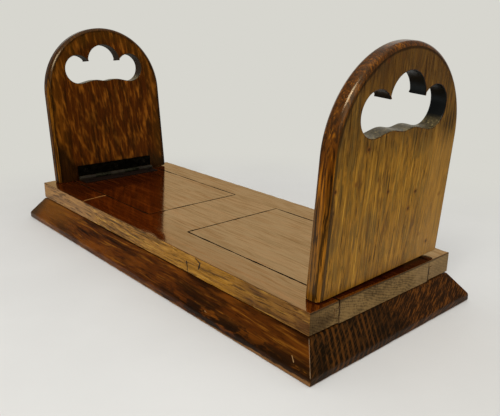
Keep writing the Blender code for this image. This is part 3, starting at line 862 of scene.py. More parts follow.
def board_edge_finish():
    """Tan to golden oak along X, bruised along the arris, with two small cracks."""
    material, tree, shader, place = new_finish("board_edge")
    tones = (tone(78, 50, 14), tone(148, 102, 40), tone(192, 144, 62))
    log, colour, height = oak_figure(tree, place, LENGTHWISE, (0.2, 0.4, 0.11), tones, 0.85, 0.9)
    parts = axes(tree, place)
    wander = times(tree, cloud(tree, place, (14, 60, 60), 3), 0.08)
    along = calc(tree, "ADD", parts["X"], wander)
    golden = times(tree, ease(tree, along, *GOLDEN_X), ease(tree, along, *GOLDEN_STOP_X))
    colour = mix(tree, times(tree, golden, 0.5), colour, tone(168, 116, 24))
    colour = lay(tree, colour, tone(172, 130, 86), along, *TAN_X, 0.5)
    colour = stain(tree, place, colour, tone(78, 46, 24), (12, 150, 240), 0.50, 0.64, 0.30, (2, 0, 1))
    ruddy = times(tree, ease(tree, parts["X"], *RUDDY_X), ease(tree, wander, 0.034, 0.044, 0.45))
    colour = mix(tree, times(tree, ruddy, 0.85), colour, tone(74, 42, 20))
    dash = cloud(tree, log, (42, 900, 760), 2, 0.55, (5, 5, 5))
    colour = lay(tree, colour, tone(56, 32, 10), dash, 0.55, 0.62, 0.7)
    ragged = times(tree, cloud(tree, place, (50, 160, 160), 5, 0.7), 0.007)
    near_top = calc(tree, "SUBTRACT", parts["Z"], ragged)
    colour = lay(tree, colour, tone(36, 18, 7), near_top, board_high.z - 0.0044, board_high.z - 0.0032, 0.85)
    for crack in CRACKS:
        colour = mark(tree, place, colour, tone(20, 10, 4), crack, CRACK_WIDTH, 1.0)
    polish(tree, shader, colour, height, 0.42, 0.45, 0.2)
    return material


board_edge = board_edge_finish()
print(board_edge.name)

# %% End grain of the board and the tongues
RING_SPACING, RAY_SPACING = 0.0017, 0.0016
RAY_TURN = 80
END_SHADE_Y, SPARED_Y, PALE_Y = (-0.012, -0.036), (-0.068, -0.056), (0.046, 0.070)


def board_end_grain(name, slide, lean):
    """Greyed end grain: fine rings crossed by fine rays, with painted shade towards the near corner."""
    material, tree, shader, place = new_finish(name)
    moved = put(tree, "Mapping", {"Vector": place, "Location": slide}).outputs[0]
    bend = times(tree, cloud(tree, moved, (20, 28, 60), 3, 0.6), 0.008)
    hatch = []
    for angle, spacing in ((lean, RING_SPACING), (lean + RAY_TURN, RAY_SPACING)):
        up = axes(tree, turned(tree, moved, (math.radians(angle), 0, 0)))["Z"]
        hatch.append(waves(tree, calc(tree, "ADD", up, bend), spacing))
    grit = cloud(tree, moved, (300, 420, 420), 3, 0.65)
    broad = cloud(tree, moved, (30, 45, 90), 3, 0.6)
    weave = weigh(tree, (hatch[0], 0.10), (hatch[1], 0.08), (grit, 0.8), (broad, 0.8))
    colour = mix(tree, ease(tree, weave, 0.44, 1.10), tone(60, 44, 22), tone(130, 103, 62))
    parts = axes(tree, place)
    across_end = weigh(tree, (parts["Y"], 1.0), (broad, 0.05))
    # Painted shade: the end face darkens across its middle towards the near corner, where the end standing
    # above shades it. The corner itself stays lighter.
    end_shade = times(tree, ease(tree, across_end, *END_SHADE_Y), ease(tree, across_end, *SPARED_Y, 0.15, 0.6))
    colour = mix(tree, end_shade, colour, tone(40, 23, 9))
    colour = lay(tree, colour, tone(150, 122, 82), across_end, *PALE_Y, 0.4)
    rim = weigh(tree, (parts["Z"], 1.0), (broad, 0.002))
    soiled = ease(tree, rim, board_high.z - 0.0006, board_high.z + 0.0002, 0, 0.7)
    soiled = calc(tree, "MAXIMUM", soiled, times(tree, joint_dirt(tree, place), 0.85))
    colour = mix(tree, soiled, colour, tone(28, 14, 6))
    height = weigh(tree, (weave, 0.4), (1.0, -0.5))
    polish(tree, shader, colour, height, 0.5, 0.4, 0.12)
    return material


board_end = board_end_grain("board_end_grain", (0, 0.05, 0.02), 24)
left_tongue_end = board_end_grain("left_tongue_end_grain", (0, -0.13, 0.11), 34)
right_tongue_end = board_end_grain("right_tongue_end_grain", (0, 0.21, -0.07), 18)
print(board_end.name, left_tongue_end.name, right_tongue_end.name)

# %% [markdown]
# ## The top board
#
# The board has a wide housing at each end, as long as its tongue and open below. Grooves along
# the housing guide the tongue. A block is softened at its outer arrises first and the housings
# are cut after that, so that the joints stay crisp, with only a hair of softness at the top.

# %% Block and arrises
BOARD_ARRIS = 0.0008
BOARD_CUTS = (71, 27)
BOARD_WEAR, BOARD_WEAR_SIZE = 0.0006, 0.006
RIDGE_THICKNESS = 0.005
ridge_z = (board_low.z + board_high.z) / 2

board = add_block("board_wood", board_low, board_high)
wear_down(board, board_high, BOARD_CUTS, BOARD_ARRIS, BOARD_WEAR, BOARD_WEAR_SIZE)
print("board faces:", len(board.data.polygons))

# %% Housings and grooves
CLEAR = 0.002
housing_half = TONGUE_HALF + JOINT_GAP
groove_half = housing_half + RIDGE_DEPTH
groove_rise = RIDGE_THICKNESS / 2 + JOINT_GAP

for way in (1, -1):
    near, beyond = sorted((way * BRIDGE / 2, way * (board_high.x + CLEAR)))
    low, high = (near, -housing_half, board_low.z - CLEAR), (beyond, housing_half, board_high.z + CLEAR)
    carve(board, add_block("housing", low, high))
    low, high = (near, -groove_half, ridge_z - groove_rise), (beyond, groove_half, ridge_z + groove_rise)
    carve(board, add_block("groove", low, high))
print("housings", round(2 * housing_half * 1000, 1), "mm wide")

# %% A hair of softness on the joints
JOINT_ARRIS = 0.00025


def on_joint(edge):
    """True for the housings' edges at the top of the board."""
    spot = middle_of(edge)
    at_top = min(point.co.z for point in edge.verts) > board_high.z - HAIR
    along_side = abs(abs(spot.y) - housing_half) < HAIR and abs(spot.x) < board_high.x - 2 * BOARD_ARRIS
    along_bridge = abs(abs(spot.x) - BRIDGE / 2) < HAIR and abs(spot.y) < housing_half + HAIR
    return at_top and is_sharp(edge) and (along_side or along_bridge)


only(board)
bpy.ops.object.mode_set(mode="EDIT")
softened = soften(on_joint, JOINT_ARRIS, 2)
bpy.ops.object.mode_set(mode="OBJECT")
print("softened", softened, "joint edges")

# %% Board finishes
def inside_joint(face):
    """True for the walls of the housings and grooves, which no one polished."""
    between = abs(face.center.y) < groove_half + HAIR and abs(face.center.x) < board_high.x - 0.001
    return face.normal.z < 0.5 and between


lay_finishes(board, [
    (underside, lambda face: face.normal.z < -0.5 or inside_joint(face)),
    (board_top, lambda face: face.normal.z > 0.6),
    (board_end, lambda face: abs(face.normal.x) > abs(face.normal.y)),
    (board_edge, lambda face: True),
])
hand_over(board, "base", ["top_board"])

# %% [markdown]
# ## The tongues
#
# Each tongue is a board as thick as the top board, with a ridge along both sides that runs in
# the grooves. The side of a block is cut into three strips with two bisect cuts, and the middle
# strip is extruded out. This keeps the ridge in one piece with the board, as a plane leaves it.

# %% Make both tongues
tops = {"left": left_tongue_top, "right": right_tongue_top}
tongue_ends = {"left": left_tongue_end, "right": right_tongue_end}


def make_tongue(side):
    """One tongue, with its ridges and a blind hole for its stop peg."""
    way = 1 if side == "right" else -1
    low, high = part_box(side + "_tongue")
    tongue = add_block(side + "_tongue_wood", (low.x, -TONGUE_HALF, low.z), (high.x, TONGUE_HALF, high.z))
    bpy.ops.object.mode_set(mode="EDIT")
    for height in (ridge_z - RIDGE_THICKNESS / 2, ridge_z + RIDGE_THICKNESS / 2):
        slice_at((0, 0, height), (0, 0, 1))
    for out in (1, -1):
        pick("FACE", lambda face: out * face.normal.y > 0.9 and abs(height_of(face) - ridge_z) < 0.001)
        draw_out((0, out * RIDGE_DEPTH, 0))
    soften(lambda edge: min(point.co.z for point in edge.verts) > high.z - HAIR, JOINT_ARRIS, 2)
    bpy.ops.object.mode_set(mode="OBJECT")
    hole_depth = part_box(side + "_stop_peg")[1].z + SCREW_FIT - low.z
    mouth = (way * PEG_X, 0, low.z)
    carve(tongue, add_rod("peg_hole", PEG_RADIUS + SCREW_FIT, 2 * hole_depth, mouth, "Z", 32))
    lay_finishes(tongue, [
        (tops[side], lambda face: face.normal.z > 0.6 and face.center.z > high.z - 0.001),
        (tongue_ends[side], lambda face: way * face.normal.x > 0.6),
        (underside, lambda face: True),
    ])
    return tongue


for side in SIDES:
    hand_over(make_tongue(side), side + "_runner", [side + "_tongue"])

# %% [markdown]
# ## The sizes of an end
#
# The finishes of the ends darken towards the rim and the foot, so they need to know how wide and
# how high an end is. All sizes are taken upright, in the frame of the hinge pin. The left end
# leans out a little more than the right one, and its hinge sits a hair nearer to the front.

# %% Sizes of an end
END_RAKE = {"left": math.radians(5.3), "right": math.radians(3.7)}
END_THICKNESS = 0.0115
END_WIDTH = 0.1229
END_HEIGHT = 0.1459
END_TAPER = 0.00065
ARCH_RADIUS = END_WIDTH / 2 - END_TAPER
BARREL_GAP = 0.0025
FOOT_SPARE = 0.005
PIVOT = {"left": Vector((0.1618, 0.0011, 0.0392)), "right": Vector((0.1618, 0, 0.0392))}
FACING = {"left": Matrix.Rotation(math.radians(180), 4, "Z"), "right": Matrix.Identity(4)}


def hinge_place(side):
    """Where the hinge pin of a side is, facing outwards."""
    return FACING[side] @ Matrix.Translation(PIVOT[side])


def leaning(side):
    """The hinge's place, turned by the lean of the end."""
    return hinge_place(side) @ Matrix.Rotation(END_RAKE[side], 4, "Y")


foot_z = -BARREL_GAP - FOOT_SPARE
spring_z = END_HEIGHT - ARCH_RADIUS - BARREL_GAP
reach = math.hypot(END_WIDTH / 2, spring_z - foot_z)
meet = math.acos(ARCH_RADIUS / reach) - math.atan2(spring_z - foot_z, END_WIDTH / 2)
print("the sides meet the arch", round(math.degrees(meet), 2), "degrees above its spring")

# %% [markdown]
# ## Finishes of the ends
#
# The ends are quarter-sawn. Their inner faces are dark and glossy, with amber flecks that lean
# across the grain, and painted shade makes them nearly black towards the foot. Their outer faces
# have seen more light: golden brown with grey streaks, small dark specks, and less gloss. The
# rounded edge is amber varnish over dark fissures, and on the left end it turns matt towards the
# back. Inside the hand-hole the walls carry painted shade: they darken the higher up they are, and
# on the right end they are painted nearly black. Its lower edge, the sill, is worn to a greyer
# wood by many hands. The grain runs up each end, and the ends lean out by a few degrees, so the
# turn of the figure follows the lean.

# %% Ends, inner face
GRAIN_TURN = {
    "left": (0, math.radians(90) + END_RAKE["left"], 0),
    "right": (0, math.radians(90) - END_RAKE["right"], 0),
}
GRAIN_SLIDE = {"right": (0.13, 0.27, 0.41), "left": (0.62, -0.35, 0.18)}
LEAN_DROP = 0.0006
RIM_CENTRE_Z = PIVOT["left"].z + spring_z - LEAN_DROP


def towards_rim(tree, place, side):
    """How far out a spot is: from the middle line below, from the arch's centre above."""
    middle = (FACING[side] @ PIVOT[side]).y
    parts = axes(tree, place)
    across = calc(tree, "SUBTRACT", parts["Y"], middle)
    up = calc(tree, "MAXIMUM", calc(tree, "SUBTRACT", parts["Z"], RIM_CENTRE_Z), 0.0)
    flat = put(tree, "CombineXYZ", {"X": across, "Y": up}).outputs[0]
    return parts, length_of(tree, flat)


FLECK_SLANT = math.radians(9)
OLIVE_RIM = (ARCH_RADIUS - 0.014, ARCH_RADIUS - 0.004)
BLACK_RIM = (ARCH_RADIUS - 0.0012, ARCH_RADIUS + 0.0016)
CORNER_Y, CORNER_RISE = (-0.040, -0.056), 0.022
FOOT_SHADE_Z = (0.066, 0.052)


def end_inner_finish(side):
    """Dark glossy oak with soft amber flecks, nearly black at the rim, and painted shade that makes it nearly
    black at the foot.
    """
    material, tree, shader, place = new_finish(side + "_end_inner")
    tones = (tone(24, 8, 0), tone(64, 25, 1), tone(112, 58, 8))
    log, colour, height = oak_figure(
        tree, place, GRAIN_TURN[side], GRAIN_SLIDE[side], tones, 0.45, 0.3, (9, 110, 90), 1.3
    )
    slanted = turned(tree, log, (0, 0, FLECK_SLANT))
    patch = cloud(tree, slanted, (62, 230, 44), 2, 0.5, (5, 3, 1))
    flecks = ease(tree, patch, 0.46, 0.74, 0, 0.95)
    colour = mix(tree, flecks, colour, tone(134, 76, 16))
    shade = cloud(tree, slanted, (40, 190, 60), 3, 0.6, (8, 8, 3))
    colour = lay(tree, colour, tone(24, 8, 1), shade, 0.46, 0.64, 0.6)
    parts, out = towards_rim(tree, place, side)
    loose = cloud(tree, place, (90, 90, 60), 4, 0.6, (1, 1, 6))
    out = weigh(tree, (out, 1.0), (loose, 0.008))
    colour = lay(tree, colour, tone(84, 54, 6), out, *OLIVE_RIM, 0.22)
    colour = lay(tree, colour, tone(14, 5, 1), out, *BLACK_RIM, 0.9)
    # Painted shade: nearly black towards the foot, where the end meets the board, reaching higher at the
    # front corner.
    corner = ease(tree, parts["Y"], *CORNER_Y)
    low = weigh(tree, (parts["Z"], 1.0), (loose, 0.016), (corner, -CORNER_RISE))
    colour = lay(tree, colour, tone(14, 5, 2), low, *FOOT_SHADE_Z, 0.85)
    polish(tree, shader, colour, height, 0.18, 0.20, 0.35)
    return material


OUTER_BANDS = (34, 240, 180)
RUDDY_TOP_Z, RUDDY_FOOT_Z = (0.150, 0.176), (0.058, 0.048)
SHADED_Z = (0.121, 0.144)
FADED_Y, FADED_Z = (0.035, 0.070), (0.142, 0.122)
LINE_OUT, LINE_Y = (ARCH_RADIUS - 0.0042, ARCH_RADIUS - 0.0030), (0.046, 0.030)
WORM_SCALE = 62.0


def end_outer_finish(side):
    """Golden brown oak with grey streaks and dark specks, ruddy at the arch."""
    material, tree, shader, place = new_finish(side + "_end_outer")
    tones = (tone(66, 42, 10), tone(138, 95, 24), tone(184, 134, 44))
    log, colour, height = oak_figure(
        tree, place, GRAIN_TURN[side], GRAIN_SLIDE[side], tones, 0.60, 0.9, OUTER_BANDS
    )
    colour = stain(tree, log, colour, tone(94, 74, 32), (44, 330, 140), 0.48, 0.60, 0.50)
    colour = stain(tree, log, colour, tone(170, 116, 32), (70, 280, 90), 0.54, 0.66, 0.5, (6, 2, 8))
    colour = stain(tree, log, colour, tone(84, 50, 18), (30, 110, 60), 0.54, 0.70, 0.4, (4, 1, 2))
    parts, out = towards_rim(tree, place, side)
    loose = cloud(tree, place, (60, 60, 40), 4, 0.6, (1, 1, 6))
    up = weigh(tree, (parts["Z"], 1.0), (loose, 0.020))
    ruddy = calc(tree, "ADD", ease(tree, up, *RUDDY_TOP_Z, 0, 0.42), ease(tree, up, *RUDDY_FOOT_Z, 0, 0.3))
    colour = mix(tree, ruddy, colour, tone(80, 42, 14))
    colour = mix(tree, ease(tree, up, *SHADED_Z, 0, 0.84), colour, tone(186, 187, 233), "MULTIPLY")
    faded = weigh(tree, (parts["Y"], 1.0), (loose, 0.04))
    faded = times(tree, ease(tree, faded, *FADED_Y, 0, 0.4), ease(tree, up, *FADED_Z))
    colour = mix(tree, faded, colour, tone(170, 126, 60))
    out = weigh(tree, (out, 1.0), (loose, 0.002))
    line = times(tree, ease(tree, out, *LINE_OUT), ease(tree, parts["Y"], *LINE_Y, 0.15, 0.75))
    colour = mix(tree, line, colour, tone(30, 14, 4))
    worm = put(tree, "TexVoronoi", {"Vector": log, "Scale": WORM_SCALE}).outputs["Distance"]
    colour = lay(tree, colour, tone(92, 44, 12), worm, 0.16, 0.07, 0.5)
    colour = lay(tree, colour, tone(30, 15, 6), worm, 0.075, 0.045, 0.7)
    polish(tree, shader, colour, height, 0.32, 0.30, 0.15, (1.0, 0.7, 0.35, 1))
    return material


ends_inner = {side: end_inner_finish(side) for side in SIDES}
ends_outer = {side: end_outer_finish(side) for side in SIDES}
print([finish.name for finish in (*ends_inner.values(), *ends_outer.values())])

# %% Ends, rounded edge
EDGE_TONES = {
    "left": (tone(14, 6, 0), tone(64, 34, 3), tone(122, 74, 14)),
    "right": (tone(20, 9, 1), tone(92, 48, 4), tone(164, 98, 14)),
}
EDGE_SHINE = {"left": 0.5, "right": 0.7}
BACK_PALE = {"left": 0.0, "right": 0.6}
BACK_MATT = {"left": 0.65, "right": 0.0}
MID_X = PIVOT["left"].x + BARREL_GAP + END_THICKNESS / 2
MID_THICKNESS = MID_X - PIVOT["left"].z * math.tan(END_RAKE["left"])
FOOT_PALE = {"left": 0.0, "right": 0.5}
PALE_FOOT_Z, ARCH_Z, BRIGHT_Z = (0.12, 0.05), (0.115, 0.145), (0.115, 0.150)
BACK_Y = (0.050, 0.057)
LOW_SHINE, ARCH_SHINE = (0.35, 0.22, 0.10, 1), (1.0, 0.8, 0.5, 1)
ARCH_TONE = {"left": tone(58, 28, 2), "right": tone(66, 32, 2)}


def end_edge_finish(side):
    """Dark amber varnish with many fine black streaks along the grain, paler near the foot."""
    material, tree, shader, place = new_finish(side + "_end_edge")
    log, colour, height = oak_figure(
        tree, place, GRAIN_TURN[side], GRAIN_SLIDE[side], EDGE_TONES[side], 0.7, 0.6
    )
    split = cloud(tree, log, (24, 620, 560), 3, 0.65, (2, 2, 5))
    fissure = ease(tree, split, 0.52, 0.58, 0, 0.85)
    parts = axes(tree, place)
    up = parts["Z"]
    colour = lay(tree, colour, tone(142, 96, 26), up, *PALE_FOOT_Z, FOOT_PALE[side])
    colour = mix(tree, fissure, colour, tone(16, 8, 2))
    colour = lay(tree, colour, ARCH_TONE[side], up, *ARCH_Z, 0.5)
    colour = lay(tree, colour, tone(140, 100, 46), parts["Y"], *BACK_Y, BACK_PALE[side])
    height = weigh(tree, (height, 1.0), (fissure, -0.5))
    polish(tree, shader, colour, height, 0.20, 0.03, EDGE_SHINE[side], spread=0.04)
    tree.links.new(lay(tree, LOW_SHINE, ARCH_SHINE, up, *BRIGHT_Z), shader.inputs["Specular Tint"])
    through = weigh(tree, (calc(tree, "ABSOLUTE", parts["X"]), 1.0), (up, -math.tan(END_RAKE[side])))
    matt = ease(tree, through, MID_THICKNESS - 0.0010, MID_THICKNESS + 0.0020, 0, BACK_MATT[side])
    roughen(tree, shader, matt)
    return material


ends_edge = {side: end_edge_finish(side) for side in SIDES}
print([finish.name for finish in ends_edge.values()])

# %% Hand-hole, walls and sill
WALL_SHADE_Z = (0.1325, 0.1365)
# The right end's walls are painted near-black grey as the shade inside its hole. The left end's walls keep a
# brown-grey wood tone.
WALL_TONES_AND_SHADE = {
    "left": (tone(26, 18, 10), tone(72, 54, 36), tone(120, 98, 74)),
    "right": (tone(5, 5, 5), tone(13, 13, 12), tone(30, 30, 28)),
}
WALL_SHINE = {"left": (1.0, 0.88, 0.7, 1), "right": (0.8, 0.92, 1.0, 1)}
WALL_SHADE_TONE = {"left": tone(44, 32, 20), "right": tone(13, 13, 11)}
SILL_TONES = (tone(20, 16, 9), tone(78, 66, 40), tone(148, 132, 88))
SILL_SHINE = (1.0, 0.90, 0.66, 1)


def hole_finish(name, side, tones, rough, shine, tint):
    """Oak inside the hand-hole, with painted shade that darkens it the higher up it is."""
    material, tree, shader, place = new_finish(side + name)
    _, colour, height = oak_figure(tree, place, GRAIN_TURN[side], (0.4, 0.1, 0.9), tones, 0.6, 0.4)
    # Painted shade: the walls darken the higher up they are inside the hole.
    colour = lay(tree, colour, WALL_SHADE_TONE[side], axes(tree, place)["Z"], *WALL_SHADE_Z)
    polish(tree, shader, colour, height, rough, 0.25, shine, tint)
    return material


ends_hole, ends_sill = {}, {}
for side in SIDES:
    ends_hole[side] = hole_finish("_hand_hole", side, WALL_TONES_AND_SHADE[side], 0.35, 0.2, WALL_SHINE[side])
    ends_sill[side] = hole_finish("_hole_sill", side, SILL_TONES, 0.36, 0.3, SILL_SHINE)
print([finish.name for finish in (*ends_hole.values(), *ends_sill.values())])

# %% [markdown]
# ## One end, modelled flat
#
# A maker would cut the arch with a compass saw and bore the hand-hole before cleaning it up. The
# model goes the same way. A wide rod gives a true arch. Its lower half is cut off, and the flat
# that is left is extruded down and widened a little, so the sides run into the arch without a
# kink. Everything is made upright in the pivot's own frame, and leans later.

# %% Arch and sides
inner_x, outer_x = BARREL_GAP, BARREL_GAP + END_THICKNESS
middle_x = (inner_x + outer_x) / 2
blank = add_rod("end_blank", ARCH_RADIUS, END_THICKNESS, (middle_x, 0, spring_z), "X", 220)
bpy.ops.object.mode_set(mode="EDIT")
meet_z = spring_z + ARCH_RADIUS * math.sin(meet)
slice_at((0, 0, meet_z), (0, 0, 1), use_fill=True, clear_inner=True)
pick("FACE", lambda face: face.normal.z < -0.9 and abs(height_of(face) - meet_z) < HAIR)
draw_out((0, 0, foot_z - meet_z), (1, END_WIDTH / 2 / (ARCH_RADIUS * math.cos(meet)), 1))
bpy.ops.object.mode_set(mode="OBJECT")
print("blank:", [round(size * 1000, 1) for size in blank.dimensions], "mm")

# %% [markdown]
# ## The hand-hole
#
# The hole has a round lobe at each side and a taller crown between them, and its lower edge waves
# gently. Three rods and one block make its shape, like three bored holes and the waste sawn out
# between them. The block's lower face is subdivided and its points are lifted along the wave.
# Each rod is a little longer than the one before, because a boolean can fail where the flat ends
# of two shapes lie in one plane.

# %% Bored lobes, crown and waist
HOLE_HALF = 0.0410
LOBE_RADIUS = 0.0133
LOBE_DROP = 0.0386
CROWN_RISE = 0.0226
CUSP_SHARE = 0.55
DIP_RISE, CREST_RISE = 0.0014, 0.0027
CREST_SHARE = 0.38
BORE_LENGTH, BORE_STEP = 2 * END_THICKNESS, 0.0005
lobe_z = END_HEIGHT - LOBE_DROP - BARREL_GAP
lobe_y = HOLE_HALF - LOBE_RADIUS
cusp_rise = LOBE_RADIUS * CUSP_SHARE
cusp_y = lobe_y - math.sqrt(LOBE_RADIUS ** 2 - cusp_rise ** 2)
crown_height = CROWN_RISE - cusp_rise
crest_y = lobe_y * CREST_SHARE
hole_bottom = lobe_z - LOBE_RADIUS


def wave(across):
    """How far the hole's lower edge lies above its lowest line."""
    across = abs(across)
    if across < crest_y:
        return DIP_RISE + (CREST_RISE - DIP_RISE) * (1 - math.cos(math.pi * across / crest_y)) / 2
    return CREST_RISE * (1 + math.cos(math.pi * (across - crest_y) / (lobe_y - crest_y))) / 2


print("wave at the middle and at the crest:", round(wave(0) * 1000, 2), round(wave(crest_y) * 1000, 2), "mm")

# %% The cutter
WAVE_CUTS = 47
bore_start, bore_stop = middle_x - BORE_LENGTH / 2, middle_x + BORE_LENGTH / 2
hole = add_block("hand_hole", (bore_start, -lobe_y, hole_bottom), (bore_stop, lobe_y, lobe_z))
bpy.ops.object.mode_set(mode="EDIT")
pick("EDGE", lambda edge: span(edge, 1) > lobe_y)
bpy.ops.mesh.subdivide(number_cuts=WAVE_CUTS)
bpy.ops.object.mode_set(mode="OBJECT")
for point in hole.data.vertices:
    if point.co.z < hole_bottom + HAIR:
        point.co.z += wave(point.co.y)
for step, way in enumerate((1, -1), 1):
    bore = BORE_LENGTH + step * BORE_STEP
    weld_on(hole, add_rod("lobe", LOBE_RADIUS, bore, (middle_x, way * lobe_y, lobe_z), "X", 96))
crown = add_rod("crown", cusp_y, BORE_LENGTH + 3 * BORE_STEP, (middle_x, 0, 0), "X", 96)
crown.scale = (1, 1, crown_height / cusp_y)
crown.location = (0, 0, lobe_z + cusp_rise)
only(crown)
weld_on(hole, settle("crown"))
print("cutter:", [round(size * 1000, 1) for size in hole.dimensions], "mm")

# %% [markdown]
# ## Round, cut and ease
#
# The outer arris is worn round before the hole is cut, with a bevel of many segments that is a
# little flatter than a quarter circle. A flat face with a hole in it goes wrong once the hole's
# rim is bevelled, so two straight cuts through the middle of the lobes split the faces first.
# The rim is eased last, and then each face is told which finish it gets.

# %% Round the outer arris, cut the hole, ease its rim
OUTER_ROUND = 0.0034
WORN_PROFILE = 0.42
RIM_ARRIS = 0.0007
hole_top = lobe_z + cusp_rise + crown_height


def in_hole(spot):
    """True inside the hand-hole's own patch of the end, well away from the outer edge."""
    level = abs(spot.y) < HOLE_HALF + 0.001 and hole_bottom - 0.001 < spot.z < hole_top + 0.001
    return level and math.hypot(spot.y, spot.z - spring_z) < ARCH_RADIUS - OUTER_ROUND - 0.001


def above_foot(edge):
    """True for the sharp edges along the sides and the arch."""
    return is_sharp(edge) and middle_of(edge).z > foot_z + HAIR


def on_rim(edge):
    """True for the sharp edges where the hole meets a flat face."""
    return is_sharp(edge, 60) and span(edge, 0) < HAIR and in_hole(middle_of(edge))


only(blank)
bpy.ops.object.mode_set(mode="EDIT")
soften(above_foot, OUTER_ROUND, 7, profile=WORN_PROFILE)
for line in ((0, 0, 1), (0, 1, 0)):
    slice_at((0, 0, lobe_z), line)
bpy.ops.object.mode_set(mode="OBJECT")
carve(blank, hole)
only(blank)
bpy.ops.object.mode_set(mode="EDIT")
rim = soften(on_rim, RIM_ARRIS, 3)
bpy.ops.object.mode_set(mode="OBJECT")
print("rim edges:", rim, "faces of the end:", len(blank.data.polygons))

# %% Mark each face of the blank
INNER, OUTER, EDGE, HOLE, SILL = range(5)
FACE_FINISHES = (ends_inner, ends_outer, ends_edge, ends_hole, ends_sill)
SILL_SHARE = 0.5
SILL_TOP = lobe_z - LOBE_RADIUS * SILL_SHARE
for finishes in FACE_FINISHES:
    blank.data.materials.append(finishes["right"])


def end_face_kind(face):
    """Which finish a face of the end gets, from its place and the way it looks."""
    if in_hole(face.center) and abs(face.normal.x) < 0.8:
        return SILL if face.normal.z > 0.5 and face.center.z < SILL_TOP else HOLE
    if face.normal.x < -0.97:
        return INNER
    if face.normal.x > 0.97:
        return OUTER
    return EDGE


for face in blank.data.polygons:
    face.material_index = end_face_kind(face)
kinds = [face.material_index for face in blank.data.polygons]
print("faces per finish:", [kinds.count(kind) for kind in range(len(FACE_FINISHES))])

# %% [markdown]
# ## Two ends, each with its own foot
#
# Both ends are copies of the one above. Each leans out, stands at its hinge, and has its foot
# planed level with the board. The right foot was planed too far at the back, which leaves a thin
# wedge of shadow under it, and the left one only a little. The foot is cut with one bisect.

# %% Lean, place and plane
FOOT_RISE = {"left": 0.0008, "right": 0.0034}
SEAT_GAP = 0.0003
FOOT_ARRIS = 0.0009
BOARD_TOP = board_high.z


def make_end(side):
    """A copy of the blank with its own mesh, leaning at its hinge, with its foot cut."""
    end = place_copy(blank, side + "_end_wood", leaning(side))
    slope = math.atan2(FOOT_RISE[side], END_WIDTH)
    bpy.ops.object.mode_set(mode="EDIT")
    front_foot, way = (0, -END_WIDTH / 2, BOARD_TOP + SEAT_GAP), (0, -math.sin(slope), math.cos(slope))
    slice_at(front_foot, way, use_fill=True, clear_inner=True)
    foot_top = BOARD_TOP + FOOT_RISE[side] + 0.001
    soften(lambda edge: is_sharp(edge, 40) and middle_of(edge).z < foot_top, FOOT_ARRIS, 3)
    bpy.ops.object.mode_set(mode="OBJECT")
    for index, finishes in enumerate(FACE_FINISHES):
        end.data.materials[index] = finishes[side]
    for face in end.data.polygons:
        if face.normal.z < -0.8 and face.center.z < BOARD_TOP + 0.01:
            face.material_index = HOLE
    return end


for side in SIDES:
    hand_over(make_end(side), side + "_upright", [side + "_end"])
throw_away(blank)

# %% [markdown]
# ## Hinge metal
#
# The hinges are brass gone nearly black, with rubbed patches. Their knuckles are painted a lighter
# grey-green as a highlight along the barrel, broken up like the rubbed wear. The steel pins and
# screws are dull and stained. For metal, the colour belongs to the reflection, so the trees change
# colour and roughness together. The leaf on the tongue lies under dirt and brown polish, so it is
# no bare metal and isn't metallic here.

# %% Bronze, pin and screw finishes
BARREL = PIVOT["left"]
KNUCKLE_OUT = (0.0027, 0.0024)
METAL_RELIEF = 0.0001


def metal(name, dark, rubbed, rough, scale, share, barrel_highlight=0.0, bare=1.0):
    """Stained metal with rubbed patches, and a painted highlight along the hinge's barrel."""
    material, tree, shader, place = new_finish(name)
    patch = cloud(tree, place, (scale, scale, scale), 5, 0.65)
    scratch = cloud(tree, place, (scale * 8, scale * 0.6, scale * 8), 3, 0.6, (4, 1, 2))
    rub = times(tree, calc(tree, "ADD", patch, scratch), 0.5)
    amount = ease(tree, rub, 0.46, 0.62, 0, share)
    # Painted highlight along the barrel: the knuckles round the pin are painted a lighter grey-green, broken
    # up by the rub noise.
    if barrel_highlight:
        parts = axes(tree, place)
        above = calc(tree, "SUBTRACT", parts["Z"], BARREL.z)
        beside = calc(tree, "SUBTRACT", calc(tree, "ABSOLUTE", parts["X"]), BARREL.x)
        off_axis = length_of(tree, put(tree, "CombineXYZ", {"X": beside, "Y": above}).outputs[0])
        knuckle = times(tree, ease(tree, off_axis, *KNUCKLE_OUT), ease(tree, rub, 0.40, 0.52))
        amount = calc(tree, "MAXIMUM", amount, times(tree, knuckle, barrel_highlight))
    tree.links.new(mix(tree, amount, dark, rubbed), shader.inputs["Base Color"])
    tree.links.new(ease(tree, rub, 0.4, 0.65, rough + 0.15, rough - 0.08), shader.inputs["Roughness"])
    shader.inputs["Specular IOR Level"].default_value = 0.2
    relief = put(tree, "Bump", {"Height": rub, "Strength": 0.35, "Distance": METAL_RELIEF})
    tree.links.new(relief.outputs[0], shader.inputs["Normal"])
    shader.inputs["Metallic"].default_value = bare
    return material


hinge_bronze = metal("hinge_bronze_dark", tone(10, 8, 5), tone(92, 90, 70), 0.42, 260, 0.12, 0.5)
leaf_brown = metal("hinge_leaf_brown", tone(22, 9, 3), tone(52, 48, 34), 0.45, 260, 0.0, 0.5, 0.0)
pin_steel = metal("pin_steel_dull", tone(70, 66, 58), tone(150, 145, 132), 0.38, 500, 0.7)
screw_steel = metal("screw_steel_dark", tone(22, 19, 15), tone(80, 74, 62), 0.4, 600, 0.5)
print(hinge_bronze.name, leaf_brown.name, pin_steel.name, screw_steel.name)

# %% [markdown]
# ## Hinge leaves
#
# A leaf is a strip of sheet rolled round the pin into knuckles. The leaf on the tongue has three
# and the one on the end has two, and they share one pin. A thin block is the strip, its far edges
# are softened, and short rods are welded on as knuckles. Both kinds are made once, for the right
# side, and copied to the left by half a turn.

